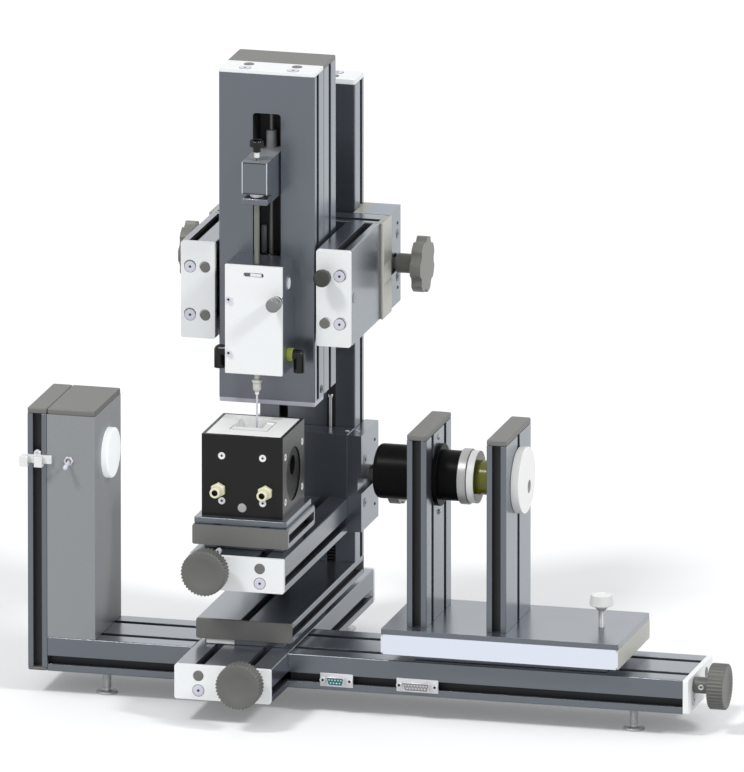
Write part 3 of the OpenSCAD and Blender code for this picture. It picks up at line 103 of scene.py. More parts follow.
room.links.new(seen.outputs["Is Transmission Ray"], through_too.inputs[1])
white_room = room.nodes.new("ShaderNodeBackground")
white_room.inputs["Color"].default_value = white
white_room.inputs["Strength"].default_value = 1
calm_room = room.nodes.new("ShaderNodeBackground")
calm_room.inputs["Color"].default_value = calm_colour
calm_room.inputs["Strength"].default_value = calm_strength
room_mix = room.nodes.new("ShaderNodeMixShader")
room_end = room.nodes.new("ShaderNodeOutputWorld")
room.links.new(through_too.outputs[0], room_mix.inputs["Fac"])
room.links.new(calm_room.outputs[0], room_mix.inputs[1])
room.links.new(white_room.outputs[0], room_mix.inputs[2])
room.links.new(room_mix.outputs[0], room_end.inputs["Surface"])

for name, (strength, towards) in suns.items():
    lamp = bpy.data.lights.new(name, "SUN")
    lamp.energy = strength
    lamp.angle = sun_breadth
    sun = bpy.data.objects.new(name, lamp)
    bpy.context.scene.collection.objects.link(sun)
    sun.rotation_euler = Vector(towards).to_track_quat("Z", "Y").to_euler()

bpy.ops.object.select_all(action="DESELECT")
bpy.ops.mesh.primitive_plane_add(size=floor_size)
floor = bpy.context.object
floor.name = "floor"
pale = bpy.data.materials.new("pale floor")
pale.use_nodes = True
tree = pale.node_tree
tree.nodes.clear()
matt = tree.nodes.new("ShaderNodeBsdfDiffuse")
matt.inputs["Color"].default_value = floor_colour
glow = tree.nodes.new("ShaderNodeEmission")
glow.inputs["Color"].default_value = white
path = tree.nodes.new("ShaderNodeLightPath")
lift = tree.nodes.new("ShaderNodeMath")
lift.operation = "MULTIPLY"
lift.inputs[1].default_value = floor_lift
both = tree.nodes.new("ShaderNodeAddShader")
end = tree.nodes.new("ShaderNodeOutputMaterial")
tree.links.new(path.outputs["Is Camera Ray"], lift.inputs[0])
tree.links.new(lift.outputs[0], glow.inputs["Strength"])
tree.links.new(matt.outputs[0], both.inputs[0])
tree.links.new(glow.outputs[0], both.inputs[1])
tree.links.new(both.outputs[0], end.inputs["Surface"])
floor.data.materials.append(pale)


# Base: two beams and a cross-beam of pressed aluminium with T-slots, anodised slate grey, with the
# faint lines of the die along their length. Each slot has a crisp lip, and its faces deeper than
# the lip are painted dark as shade.
fine, drawn = 60, 0.6
heavy_lip, light_lip, edge_break = 3.5, 2.5, 0.35
along_x, along_y, along_z = range(3)
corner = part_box("base_beams")[0]


def finish(name, colour, rough, metal=0.0, coat=0.0, grain=(fine, fine, fine), grain_depth=0.15,
           tint=0.06, sheen=0.5, glint=(1, 1, 1)):
    # Its colour, gloss and surface vary a little with a cloud that the grain stretches
    cloud_scale, cloud_detail, gloss_spread, relief_height = 8, 4, 0.04, 0.0002
    skin_ior, coat_ior, coat_rough = 1.5, 1.6, 0.22
    made = bpy.data.materials.new(name)
    made.use_nodes = True
    made.diffuse_color = (*colour, 1)
    shade = made.node_tree
    skin = shade.nodes["Principled BSDF"]
    skin.inputs["Metallic"].default_value = metal
    skin.inputs["IOR"].default_value = skin_ior
    skin.inputs["Specular IOR Level"].default_value = sheen
    skin.inputs["Specular Tint"].default_value = (*glint, 1)
    skin.inputs["Coat Weight"].default_value = coat
    skin.inputs["Coat Roughness"].default_value = coat_rough
    skin.inputs["Coat IOR"].default_value = coat_ior
    place = shade.nodes.new("ShaderNodeTexCoord")
    stretch = shade.nodes.new("ShaderNodeMapping")
    stretch.inputs["Scale"].default_value = grain
    cloud = shade.nodes.new("ShaderNodeTexNoise")
    cloud.inputs["Scale"].default_value = cloud_scale
    cloud.inputs["Detail"].default_value = cloud_detail
    shade.links.new(place.outputs["Object"], stretch.inputs["Vector"])
    shade.links.new(stretch.outputs["Vector"], cloud.inputs["Vector"])
    tone = shade.nodes.new("ShaderNodeMapRange")
    tone.inputs["To Min"].default_value = 1 - tint
    tone.inputs["To Max"].default_value = 1 + tint
    shade.links.new(cloud.outputs["Fac"], tone.inputs["Value"])
    paint = shade.nodes.new("ShaderNodeVectorMath")
    paint.operation = "SCALE"
    paint.inputs[0].default_value = colour
    shade.links.new(tone.outputs["Result"], paint.inputs["Scale"])
    shade.links.new(paint.outputs["Vector"], skin.inputs["Base Color"])
    gloss = shade.nodes.new("ShaderNodeMapRange")
    gloss.inputs["To Min"].default_value = rough - gloss_spread
    gloss.inputs["To Max"].default_value = rough + gloss_spread
    shade.links.new(cloud.outputs["Fac"], gloss.inputs["Value"])
    shade.links.new(gloss.outputs["Result"], skin.inputs["Roughness"])
    relief = shade.nodes.new("ShaderNodeBump")
    relief.inputs["Strength"].default_value = grain_depth
    relief.inputs["Distance"].default_value = relief_height
    shade.links.new(cloud.outputs["Fac"], relief.inputs["Height"])
    shade.links.new(relief.outputs["Normal"], skin.inputs["Normal"])
    return made


def spot(x, y, z):
    # A place in millimetres from the base beam's left, front and lower corner
    return corner + Vector((x, y, z)) / 1000


def extent(node):
    # A node's lowest and highest corners in spot millimetres
    return [(end - corner) * 1000 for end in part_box(node)]


def alone(piece):
    bpy.ops.object.select_all(action="DESELECT")
    piece.select_set(True)
    bpy.context.view_layer.objects.active = piece


def soften(node, radius, made, steps=2):
    # Makes a node again from its solid, with its edges broken by a fine radius
    merge_gap, flat, sharp, smooth = 0.000002, 1, 30, 50
    piece = bpy.data.objects.new(node + "_finished", nodes[node].data.copy())
    bpy.context.scene.collection.objects.link(piece)
    alone(piece)
    bpy.ops.object.mode_set(mode="EDIT")
    bpy.ops.mesh.select_all(action="SELECT")
    bpy.ops.mesh.remove_doubles(threshold=merge_gap)
    bpy.ops.mesh.dissolve_limited(angle_limit=math.radians(flat))
    bpy.ops.object.mode_set(mode="OBJECT")
    bpy.ops.mesh.customdata_custom_splitnormals_clear()
    edges = piece.modifiers.new("edges", "BEVEL")
    edges.width = radius / 1000
    edges.segments = steps
    edges.limit_method = "ANGLE"
    edges.angle_limit = math.radians(sharp)
    edges.miter_outer = "MITER_ARC"
    edges.use_clamp_overlap = True
    bpy.ops.object.modifier_apply(modifier="edges")
    bpy.ops.object.shade_smooth_by_angle(angle=math.radians(smooth))
    facing = piece.modifiers.new("facing", "WEIGHTED_NORMAL")
    facing.keep_sharp = True
    bpy.ops.object.modifier_apply(modifier="facing")
    piece.data.materials.clear()
    piece.data.materials.append(made)
    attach(piece, nodes[node]["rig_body"])
    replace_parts(piece, node)
    return piece


def repaint(piece, made, chosen):
    # Gives another finish to the faces whose middle, in spot millimetres, passes the test
    piece.data.materials.append(made)
    last = len(piece.data.materials) - 1
    for face in piece.data.polygons:
        if chosen(*((face.center - corner) * 1000)):
            face.material_index = last
    return piece


def slotted(node, made, run, lip, bars=()):
    # Softens bars that run along one axis, and paints shade on the faces that lie deeper in them than the
    # lip
    piece = soften(node, edge_break, made, steps=1)
    bars = bars or [extent(node)]
    across = [axis for axis in range(3) if axis != run]
    slack, bare_end, lip_slack = 0.1, 0.5, 0.3

    def deep(*at):
        for low, high in bars:
            inside = all(low[axis] - slack < at[axis] < high[axis] + slack for axis in range(3))
            if inside and min(at[run] - low[run], high[run] - at[run]) > bare_end:
                depth = min(min(at[axis] - low[axis], high[axis] - at[axis]) for axis in across)
                return depth > lip - lip_slack
        return False

    return repaint(piece, painted_shade, deep)


slate = (0.112, 0.125, 0.148)
anodic = {"rough": 0.3, "metal": 0.6, "coat": 1.0, "sheen": 0.6, "glint": (0.80, 0.90, 1.0),
          "tint": 0.03, "grain_depth": 0.07}
slate_along_x = finish("slate aluminium along x", slate, grain=(drawn, fine, fine), **anodic)
slate_along_y = finish("slate aluminium along y", slate, grain=(fine, drawn, fine), **anodic)
# Painted shade: a near-black finish for slot faces deeper than the lip, and for shade strips on the syringe
# carriage
painted_shade = finish("slot room", (0.016, 0.017, 0.020), 0.55, tint=0.1)
base_low, base_high = extent("base_beams")
cross_low, cross_high = extent("cross_beam")
left_beam = (base_low, (cross_low.x, base_high.y, base_high.z))
right_beam = ((cross_high.x, base_low.y, base_low.z), base_high)
slotted("base_beams", slate_along_x, along_x, heavy_lip, [left_beam, right_beam])
slotted("cross_beam", slate_along_y, along_y, heavy_lip)


# Base plates: white powder-coated plates on the ends of the beams, each held by two countersunk
# socket screws, with a grey plastic cap in the bore where no knob's spindle runs.
def lathe(name, rings, made, sides=48):
    # A turned piece along Z: every ring is (height, radius) in millimetres
    bpy.ops.object.select_all(action="DESELECT")
    height, radius = rings[0]
    bpy.ops.mesh.primitive_circle_add(vertices=sides, radius=radius / 1000, fill_type="NGON")
    piece = bpy.context.object
    piece.name = name
    bpy.ops.object.mode_set(mode="EDIT")
    bpy.ops.mesh.select_all(action="SELECT")
    bpy.ops.transform.translate(value=(0, 0, height / 1000))
    for higher, wider in rings[1:]:
        step = {"value": (0, 0, (higher - height) / 1000)}
        bpy.ops.mesh.extrude_region_move(TRANSFORM_OT_translate=step)
        share = wider / radius
        if share != 1:
            bpy.ops.transform.resize(value=(share, share, 1), center_override=(0, 0, 0))
        height, radius = higher, wider
    bpy.ops.mesh.select_all(action="SELECT")
    bpy.ops.mesh.normals_make_consistent(inside=False)
    bpy.ops.object.mode_set(mode="OBJECT")
    bpy.ops.object.shade_smooth_by_angle(angle=math.radians(35))
    piece.data.materials.append(made)
    return piece


def stand(piece, foot, towards=(0, 0, 1), spin=0):
    # Puts a piece made upright at the origin in its place, and keeps the place in its mesh
    turn = Vector(towards).to_track_quat("Z", "Y").to_matrix().to_4x4()
    piece.data.transform(Matrix.Translation(foot) @ turn @ Matrix.Rotation(math.radians(spin), 4, "Z"))
    return piece


def stand_all(pieces, foot, towards=(0, 0, 1)):
    return [stand(piece, foot, towards) for piece in pieces]


def another(piece):
    copy = piece.copy()
    copy.data = piece.data.copy()
    bpy.context.scene.collection.objects.link(copy)
    return copy


def fasten(name, pieces, body):
    # Joins pieces of one kind into one, on the body that carries them
    alone(pieces[0])
    for piece in pieces:
        piece.select_set(True)
    if len(pieces) > 1:
        bpy.ops.object.join()
    whole = bpy.context.object
    whole.name = name
    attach(whole, body)
    return whole


def screwed_end(name, body, towards, screws, caps):
    # Screws and caps in the plate on a profile's end, at places in spot millimetres
    seat_depth, screw_r, socket_r, cap_r = 1.2, 5.1, 1.3, 4.7
    screw = [lathe("plate_screw", [(-seat_depth, screw_r), (0.2, screw_r), (0.3, screw_r - 0.25),
                                   (0.14, 2.4), (0.1, 1.9)], screw_pale, 40),
             lathe("plate_seat", [(-seat_depth, screw_r + 0.4), (0.05, screw_r + 0.4),
                                  (0.05, screw_r - 0.1)], seat_shade, 40),
             lathe("plate_hex", [(-1, socket_r), (0.18, socket_r)], socket_shade, 6)]
    cap = lathe("plate_cap", [(-seat_depth, cap_r), (0.15, cap_r), (0.4, cap_r - 0.35), (0.4, 1)],
                grey_moulding, 32)
    heads = [stand(another(form), spot(*at), towards) for at in screws for form in screw]
    fasten(name + "_screws", heads, body)
    fasten(name + "_caps", [stand(another(cap), spot(*at), towards) for at in caps], body)
    for form in [*screw, cap]:
        bpy.data.objects.remove(form)


white_paint = finish("white powder coat", (0.87, 0.885, 0.89), 0.4, grain_depth=0.1, tint=0.01)
grey_moulding = finish("grey cap plastic", (0.155, 0.155, 0.146), 0.45, tint=0.03)
screw_pale = finish("pale zinc", (0.66, 0.66, 0.75), 0.4, tint=0.01)
seat_shade = finish("seat shade", (0.09, 0.09, 0.12), 0.5)
# Painted shade: a near-black finish for the sockets of screws, the walls of bores and the gaps round
# fittings
socket_shade = finish("painted socket shade", (0.01, 0.01, 0.012), 0.5)
plate_break = 0.9
soften("base_plates", plate_break, white_paint)
plates_low, plates_high = extent("base_plates")
near_slot, far_slot = 22.5, 67.5
left_slot, right_slot = cross_low.x + near_slot, cross_low.x + far_slot
screw_in, bore_in = 8.7, 22.5
screwed_end("base_right", "base", (1, 0, 0), [(plates_high.x, y, screw_in) for y in (near_slot, far_slot)],
            [(plates_high.x, far_slot, bore_in)])
for name, y, out in (("base_front", plates_low.y, -1), ("base_rear", plates_high.y, 1)):
    screwed_end(name, "base", (0, out, 0), [(x, y, screw_in) for x in (left_slot, right_slot)],
                [(left_slot, y, bore_in)])


# Drive knobs: moulded knobs with a coarse straight knurl, their hubs pinned with a set screw to a
# steel spindle that runs on in the slot.
grip_r, grip_l, hub_r, hub_l, rim, face_r, face_deep = 21, 15, 7.5, 15.7, 0.8, 12, 0.25
spindle_r, pin_r, knurl_teeth, knurl_deep, knob_gap = 3, 2.6, 40, 1.3, 0.3


def knurl(piece, low, high, radius, teeth, deep):
    # Presses in every third line of vertices between two heights
    alone(piece)
    bpy.ops.object.mode_set(mode="EDIT")
    bpy.ops.mesh.select_all(action="DESELECT")
    bpy.ops.object.mode_set(mode="OBJECT")
    for point in piece.data.vertices:
        line = round(math.atan2(point.co.y, point.co.x) / (2 * math.pi) * 3 * teeth)
        on_rim = low < point.co.z * 1000 < high and point.co.xy.length * 1000 > radius - 0.01
        point.select = on_rim and line % 3 == 0
    bpy.ops.object.mode_set(mode="EDIT")
    share = (radius - deep) / radius
    bpy.ops.transform.resize(value=(share, share, 1), center_override=(0, 0, 0))
    bpy.ops.object.mode_set(mode="OBJECT")


def drive_knob(name, node, foot, towards, pin_turn=0):
    low, high = extent(node)
    top = hub_l + grip_l
    spindle_l = max(high - low) - top
    grip = lathe(name, [(0, 4.5), (0, hub_r - 0.4), (0.4, hub_r), (hub_l, hub_r), (hub_l, grip_r - rim),
                        (hub_l + rim, grip_r), (top - rim, grip_r), (top, grip_r - rim), (top, face_r),
                        (top - face_deep, face_r - 0.4), (top - face_deep, 2)], knob_grey, 3 * knurl_teeth)
    knurl(grip, hub_l + rim / 2, top - rim / 2, grip_r, knurl_teeth, knurl_deep)
    knurl(grip, hub_l - 0.1, top + 0.1, grip_r - rim, knurl_teeth, knurl_deep)
    rod = lathe(name + "_spindle", [(-spindle_l, spindle_r - 0.5), (0.5 - spindle_l, spindle_r),
                                    (1, spindle_r)], steel, 24)
    pin = lathe(name + "_pin", [(hub_r - 1, pin_r), (hub_r + 0.2, pin_r), (hub_r + 0.3, pin_r - 0.4),
                                (hub_r - 0.1, 1.2)], steel, 20)
    stand(pin, Vector((0, 0, hub_l / 2 / 1000)), (math.cos(pin_turn), math.sin(pin_turn), 0))
    whole = fasten(name, stand_all([grip, rod, pin], spot(*foot), towards), nodes[node]["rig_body"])
    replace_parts(whole, node)


knob_grey = finish("knob plastic", (0.12, 0.12, 0.11), 0.45, tint=0.03)
steel = finish("bright steel", (0.62, 0.63, 0.64), 0.22, metal=1.0)
table_face = extent("table_beam_plate")[0]
drive_knob("camera_drive_knob", "camera_knob", (plates_high.x + knob_gap, near_slot, bore_in), (1, 0, 0),
           math.pi)
drive_knob("stage_drive_knob", "stage_knob", (right_slot, plates_low.y - knob_gap, bore_in), (0, -1, 0))
drive_knob("table_drive_knob", "table_knob",
           (left_slot, table_face.y - knob_gap, table_face.z + bore_in), (0, -1, 0))


# Levelling feet: turned steel screws with a flared disc, their threads running up into the beams.
# The two front ones stand under the base beams, the rear one under the cross-beam.
foot_places = {"left": (50, near_slot), "right": (544, near_slot), "rear": (right_slot, 290)}
foot_thread = {"low": -17.5, "high": 4, "radius": 4, "pitch": 1.25, "deep": 0.25}
foot_disc = [(-23, 8.9), (-22.7, 9.5), (-22, 9.75), (-21, 9.75), (-20.6, 9.4), (-20.5, 5.2), (-20, 3.9),
             (-19, 3.4), (-17.7, 3.4)]


def thread(low, high, radius, pitch, deep):
    # Rings of a screw thread between two heights
    rings = []
    for turn in range(int((high - low) / pitch)):
        rings += [(low + turn * pitch, radius - deep), (low + (turn + 0.5) * pitch, radius)]
    return rings


satin_zinc = finish("satin zinc", (0.55, 0.55, 0.56), 0.38, metal=0.35, tint=0.02)
for side, (x, y) in foot_places.items():
    screw = lathe("foot_screw_" + side, foot_disc + thread(**foot_thread), satin_zinc)
    stand(screw, spot(x, y, 0))
    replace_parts(fasten("foot_screw_" + side, [screw], side + "_foot"), "foot_" + side)


# Serial sockets: tinned steel shells pressed round a moulded insert, teal for nine pins and grey for
# fifteen, each on a flange that two bright jack screws hold to the base.
socket_z, flange_h, flange_rest, shell_h, wall = 10, 12.5, 14, 8.4, 0.6
pin_pitch, row_off, corner_r, taper = 2.77, 1.42, 1.1, 2.6


def block(name, low, high, made, round_by, steps=2):
    # A squared piece between two corners, its edges rounded
    bpy.ops.object.select_all(action="DESELECT")
    bpy.ops.mesh.primitive_cube_add(size=1, location=(low + high) / 2, scale=high - low)
    piece = bpy.context.object
    piece.name = name
    bpy.ops.object.transform_apply(location=True, rotation=False, scale=True)
    bpy.ops.object.mode_set(mode="EDIT")
    bpy.ops.mesh.select_all(action="SELECT")
    bpy.ops.mesh.bevel(offset=round_by / 1000, segments=steps, affect="EDGES")
    bpy.ops.object.mode_set(mode="OBJECT")
    bpy.ops.object.shade_smooth_by_angle(angle=math.radians(35))
    piece.data.materials.append(made)
    return piece


def cut(piece, cutter):
    # Takes the cutter's form out of the piece; the cut faces keep the cutter's finish
    alone(piece)
    taken = piece.modifiers.new("cut", "BOOLEAN")
    taken.operation = "DIFFERENCE"
    taken.solver = "EXACT"
    taken.object = cutter
    bpy.ops.object.modifier_apply(modifier="cut")
    bpy.data.objects.remove(cutter)
    return piece


def d_form(name, middle, wide, high, front, back, made):
    # A block in the D shape of a serial socket, narrower below than above
    form = block(name, spot(middle - wide / 2, front, socket_z - high / 2),
                 spot(middle + wide / 2, back, socket_z + high / 2), made, corner_r, 3)
    half_way = spot(middle, 0, socket_z)
    bpy.ops.object.mode_set(mode="EDIT")
    bpy.ops.mesh.select_all(action="DESELECT")
    bpy.ops.object.mode_set(mode="OBJECT")
    for point in form.data.vertices:
        point.select = point.co.z < half_way.z
    bpy.ops.object.mode_set(mode="EDIT")
    bpy.ops.transform.resize(value=(1 - taper / wide, 1, 1), center_override=half_way)
    bpy.ops.object.mode_set(mode="OBJECT")
    return form


pale_metal = finish("pale metal", (0.70, 0.69, 0.72), 0.3, metal=0.3, tint=0.02)
teal = finish("teal insert", (0.01, 0.17, 0.18), 0.4, tint=0.03)
grey_insert = finish("grey insert", (0.30, 0.30, 0.29), 0.4, tint=0.03)
sockets, pins, jacks = [], [], []
for middle, flange_w, upper_pins, jack_off, made in ((271.7, 30.8, 5, 12.5, teal),
                                                     (347.4, 39.1, 8, 16.65, grey_insert)):
    shell_w = flange_w - flange_rest
    sockets.append(block("flange", spot(middle - flange_w / 2, -1, socket_z - flange_h / 2),
                         spot(middle + flange_w / 2, 0, socket_z + flange_h / 2), pale_metal, 0.4))
    shell = d_form("shell", middle, shell_w, shell_h, -7, -0.9, pale_metal)
    shell_room = d_form("shell_room", middle, shell_w - 2 * wall, shell_h - 2 * wall, -9, -1.5, pale_metal)
    sockets.append(cut(shell, shell_room))
    sockets.append(d_form("insert", middle, shell_w - 1.3, 7.1, -6, -1.2, made))
    for count, z in ((upper_pins, socket_z + row_off), (upper_pins - 1, socket_z - row_off)):
        for turn in range(count):
            pin = lathe("pin", [(-0.2, 0.62), (0.5, 0.62), (0.7, 0.4)], pale_metal, 12)
            pins.append(stand(pin, spot(middle + (turn - (count - 1) / 2) * pin_pitch, -6, z), (0, -1, 0)))
    for side in (-jack_off, jack_off):
        jack = lathe("jack", [(0, 2.85), (1.8, 2.85), (2.2, 2.5), (2.2, 1.5), (1.9, 1.4)], pale_metal, 24)
        jack_room = lathe("jack_room", [(1, 1.2), (2.1, 1.2)], socket_shade, 20)
        jacks += stand_all([jack, jack_room], spot(middle + side, -1, socket_z), (0, -1, 0))
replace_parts(fasten("socket_shells", sockets, "base"), "serial_sockets")
fasten("socket_pins", pins, "base")
fasten("socket_jacks", jacks, "base")


# Backlight: a light profile as post, with a plain aluminium housing on it under grey caps, a lit opal
# disc in the housing's side, a toggle switch held by its hexagon nut in the front, and a white clip
# for cables that a slot nut holds on the post.
lever_x, lever_z, clip_z = 20.5, 198.5, 203.4
slate_along_z = finish("slate aluminium along z", slate, grain=(fine, fine, drawn), **anodic)
alloy = finish("light aluminium", (0.26, 0.27, 0.28), 0.34)
slotted("light_post", slate_along_z, along_z, light_lip)
soften("backlight_housing", 0.8, alloy)
post_caps = soften("light_caps", 1.0, grey_moulding)
repaint(post_caps, knob_grey, lambda x, y, z: z < 4)
lit_opal = finish("lit opal", (0.9, 0.92, 0.92), 0.35, tint=0.01)
lit_skin = lit_opal.node_tree.nodes["Principled BSDF"]
lit_skin.inputs["Emission Color"].default_value = (0.95, 1, 1, 1)
lit_skin.inputs["Emission Strength"].default_value = 0.35
soften("backlight_diffuser", 1.5, lit_opal, steps=4)
nut = lathe("toggle_nut", [(0, 4.5), (1.6, 4.5), (2, 4.1), (2, 1)], pale_metal, 6)
# The nut's bore walls take the cutter's near-black finish, as painted shade in the bore
cut(nut, lathe("nut_bore", [(-1, 2.6), (3, 2.6)], socket_shade, 32))
fasten("toggle_nut", [stand(nut, spot(lever_x, 0, lever_z), (0, -1, 0), 30)], "base")
soften("switch_lever", 0.1, screw_pale)
clip_white = finish("clip plastic", (0.78, 0.79, 0.78), 0.35, tint=0.02)
clip_skin = clip_white.node_tree.nodes["Principled BSDF"]
clip_skin.inputs["Subsurface Weight"].default_value = 0.15
clip_skin.inputs["Subsurface Radius"].default_value = (0.002, 0.002, 0.002)
soften("cable_clip", 0.5, clip_white, steps=3)
post_low, post_high = extent("light_post")
slot_nut = lathe("slot_nut", [(-3, 3.4), (-0.6, 3.4), (-0.2, 3.0), (-0.2, 1.4), (-1, 1.4)], pale_metal, 24)
stand(slot_nut, spot((post_low.x + post_high.x) / 2, 0, clip_z), (0, -1, 0))
fasten("slot_nut", [slot_nut], "base")


# Camera unit: a slide block between two white bars carries a platform with two light posts. A black
# turned lens passes the first post, with a focus ring and a white adapter with a tinted tube behind
# it, and a white disc closes the second post.
light_thick = post_high.x - post_low.x
lens_y, lens_z, tube_r, adapter_rim = 45, 197, 16.5, 391.2
disc_face, hole_y, hole_z, hole_r = 437.5, 53.7, 188.9, 6.5
glass_x, glass_r, button_off = 305.5, 14.14, 35


def side_by_side(node, thick):
    # The two like bars of a node, one at its left and one at its right end
    low, high = extent(node)
    return [(low, (low.x + thick, high.y, high.z)), ((high.x - thick, low.y, low.z), high)]


cool_white = finish("cool white plastic", (0.73, 0.76, 0.86), 0.4, tint=0.01)
beige = finish("beige end plate", (0.50, 0.50, 0.45), 0.4, tint=0.02)
block_low, block_high = extent("camera_slide_block")
bars_low = extent("camera_bars")[0]
upper_bar = ((block_low.x, block_low.y, bars_low.z), block_high)
slotted("camera_slide_block", slate_along_x, along_x, light_lip, [upper_bar])
white_bars = soften("camera_bars", 0.8, cool_white)
repaint(white_bars, beige, lambda x, y, z: x < block_low.x + 0.1 or x > block_high.x - 0.1)
soften("camera_platform", 0.7, slate_along_x)
slotted("camera_posts", slate_along_z, along_z, light_lip, side_by_side("camera_posts", light_thick))
soften("camera_post_caps", 1.0, grey_moulding)

black_alloy = finish("black metal", (0.004, 0.004, 0.0045), 0.34, sheen=0.05, tint=0.01)
hood_glass = finish("front glass", (0.01, 0.012, 0.02), 0.05, tint=0.01)
hood = [(-31.4, 14), (-31.2, 14.2), (-31.4, 14.5), (-38.1, 18.7), (-38.4, 19.3), (-38.3, 21.2),
        (-37.6, 22.9), (-36.3, 24.2), (-34.6, 24.9), (-33.6, 25), (-0.2, 25), (0, 24.8)]
neck = [(0, 20), (18.5, 20)]
flange = [(18.5, 28.1), (18.9, 28.5), (22.1, 28.5), (22.5, 28.1), (22.5, 22.6)]
rear_barrel = [(23.7, 22.6), (23.7, 23), (40.6, 23), (41, 22.6), (41, 19), (49.6, 19)]
first_post = extent("camera_posts")[0].x
lens = lathe("lens", hood + neck + flange + rear_barrel, black_alloy, 96)
fasten("lens", [stand(lens, spot(first_post, lens_y, lens_z), (1, 0, 0))], "camera_slide")
repaint(lens, hood_glass,
        lambda x, y, z: glass_x < x < glass_x + 0.5 and math.hypot(y - lens_y, z - lens_z) < glass_r)
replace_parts(lens, "lens_barrel")
ring_metal = finish("focus ring metal", (0.42, 0.42, 0.41), 0.34, metal=0.3, tint=0.01,
                    grain_depth=0.02)
soften("focus_ring", 0.7, ring_metal, steps=3)

white_plastic = finish("white plastic", (0.82, 0.82, 0.81), 0.4, tint=0.01)
clear_olive = finish("clear olive", (0.145, 0.15, 0.001), 0.18, coat=0.15, tint=0.04, sheen=0.3)
rim_grey = finish("adapter rim", (0.46, 0.46, 0.45), 0.34, tint=0.01, grain_depth=0.02)
disc_white = finish("disc white", (0.93, 0.93, 0.91), 0.4, tint=0.01)
screw_bright = finish("screw steel", (0.62, 0.64, 0.70), 0.3, metal=0.5, tint=0.02)
adapter = soften("camera_tube", 0.4, white_plastic)
repaint(adapter, rim_grey, lambda x, y, z: x > adapter_rim)
repaint(adapter, clear_olive,
        lambda x, y, z: x > adapter_rim and math.hypot(y - lens_y, z - lens_z) < tube_r)
disc = soften("camera_disc", 0.8, disc_white, steps=3)
# Painted shade: the faces inside the disc's hole take the grey rim finish
repaint(disc, rim_grey, lambda x, y, z: x < disc_face and math.hypot(y - hole_y, z - hole_z) < hole_r)
buttons = []
for z in (lens_z - button_off, lens_z + button_off):
    button = lathe("button", [(0, 2.4), (0.9, 2.4), (1.3, 1.9), (1.3, 1.1), (0.6, 1)], screw_bright, 20)
    buttons.append(stand(button, spot(first_post + light_thick, lens_y, z), (1, 0, 0)))
fasten("flange_screws", buttons, "camera_slide")


# Thumb screw: a white moulded head with a coarse grip on a pale hub, on a steel screw that clamps
# the platform to the base.
thumb_x, thumb_y, thumb_r, thumb_top_r, thumb_teeth = 507.6, 45, 11, 9.75, 40
head = lathe("thumb_head", [(84.9, 10.4), (85.2, 10.8), (85.7, thumb_r), (94, thumb_top_r), (94.6, 9.5),
                            (94.9, 9), (94.9, 6.5), (94.6, 6.2), (94.6, 1)], white_plastic, 3 * thumb_teeth)
knurl(head, 85.5, 86, thumb_r, thumb_teeth, 1.1)
knurl(head, 93.5, 94.2, thumb_top_r, thumb_teeth, 1.0)
hub = lathe("thumb_hub", [(79.4, 2.6), (82.4, 5.6), (82.6, 5.75), (84.9, 5.75)], rim_grey, 32)
shank = lathe("thumb_shank", [(32.3, 2.2), (33, 2.6)] + thread(33.2, 79.2, 2.75, 1, 0.25) + [(79.5, 2.5)],
              satin_zinc, 32)
thumb_parts = stand_all([head, hub, shank], spot(thumb_x, thumb_y, 0))
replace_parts(fasten("thumb_knob", thumb_parts, "camera_lock"), "thumb_screw")


# Column stage: a slide block with a white key carries a light profile with its single slot up, and
# the column stands on its rear end. The rack that the brackets climb by lies in the column's
# right-hand slot behind a smooth cover strip.
soften("stage_slide_block", 0.4, slate_along_y)
slide_key = block("slide_key", spot(145.3, 15, 32.4), spot(171.6, 16.7, 36.8), white_plastic, 0.5)
fasten("slide_key", [slide_key], "stage")
stage_bar = slotted("stage_carriage", slate_along_y, along_y, light_lip)
stage_mid = sum(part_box("stage_carriage"), Vector()) / 2
stage_bar.data.transform(Matrix.Translation(stage_mid) @ Matrix.Rotation(math.pi, 4, "Y")
                         @ Matrix.Translation(-stage_mid))
slotted("main_column", slate_along_z, along_z, heavy_lip)
column_high = extent("main_column")[1]
end_plates = soften("stage_end_plates", 0.8, grey_moulding)
repaint(end_plates, white_paint, lambda x, y, z: z > column_high.z - 1)
column_top = extent("stage_end_plates")[1].z
screwed_end("column_top", "stage", (0, 0, 1),
            [(x, column_high.y - screw_in, column_top) for x in (left_slot, right_slot)],
            [(x, column_high.y - bore_in, column_top) for x in (left_slot, right_slot)])
rack_left, rack_right, tooth_low, tooth_pitch, tooth_h, tooth_count = 199.4, 207.6, 57, 3, 1.6, 11
rack_dark = finish("rack steel", (0.03, 0.032, 0.036), 0.4, metal=0.4)
rack = [block("cover_strip", spot(rack_left, 239.4, 90), spot(rack_right, 242, 504), rack_dark, 0.3)]
for turn in range(tooth_count):
    foot = tooth_low + tooth_pitch * turn
    rack.append(block("rack_tooth", spot(rack_left, 239.2, foot), spot(rack_right, 241.6, foot + tooth_h),
                      rack_dark, 0.3))
fasten("column_rack", rack, "stage")


# Sample bracket: a machined block and two cheeks clamp on the column, with flush socket screws, and
# small dark rings painted as the shade in the holes for the tension springs. The block carries the
# table's slotted beam with its white plate and a stop screw, and a thin bright guide rod stands on it.
def flush_screw(radius, at, towards, made, socket=None):
    # A dished ring round a near-black hexagon that paints the socket's shade, in a face at a place in spot
    # millimetres
    head = lathe("flush_screw", [(-0.6, radius), (0.35, radius), (0.5, radius - 0.25), (0.2, radius * 0.5),
                                 (0.1, radius * 0.4)], made, 32)
    inner = lathe("flush_socket", [(-0.8, radius * 0.36), (0.18, radius * 0.36)], socket or socket_shade, 6)
    return stand_all([head, inner], spot(*at), towards)


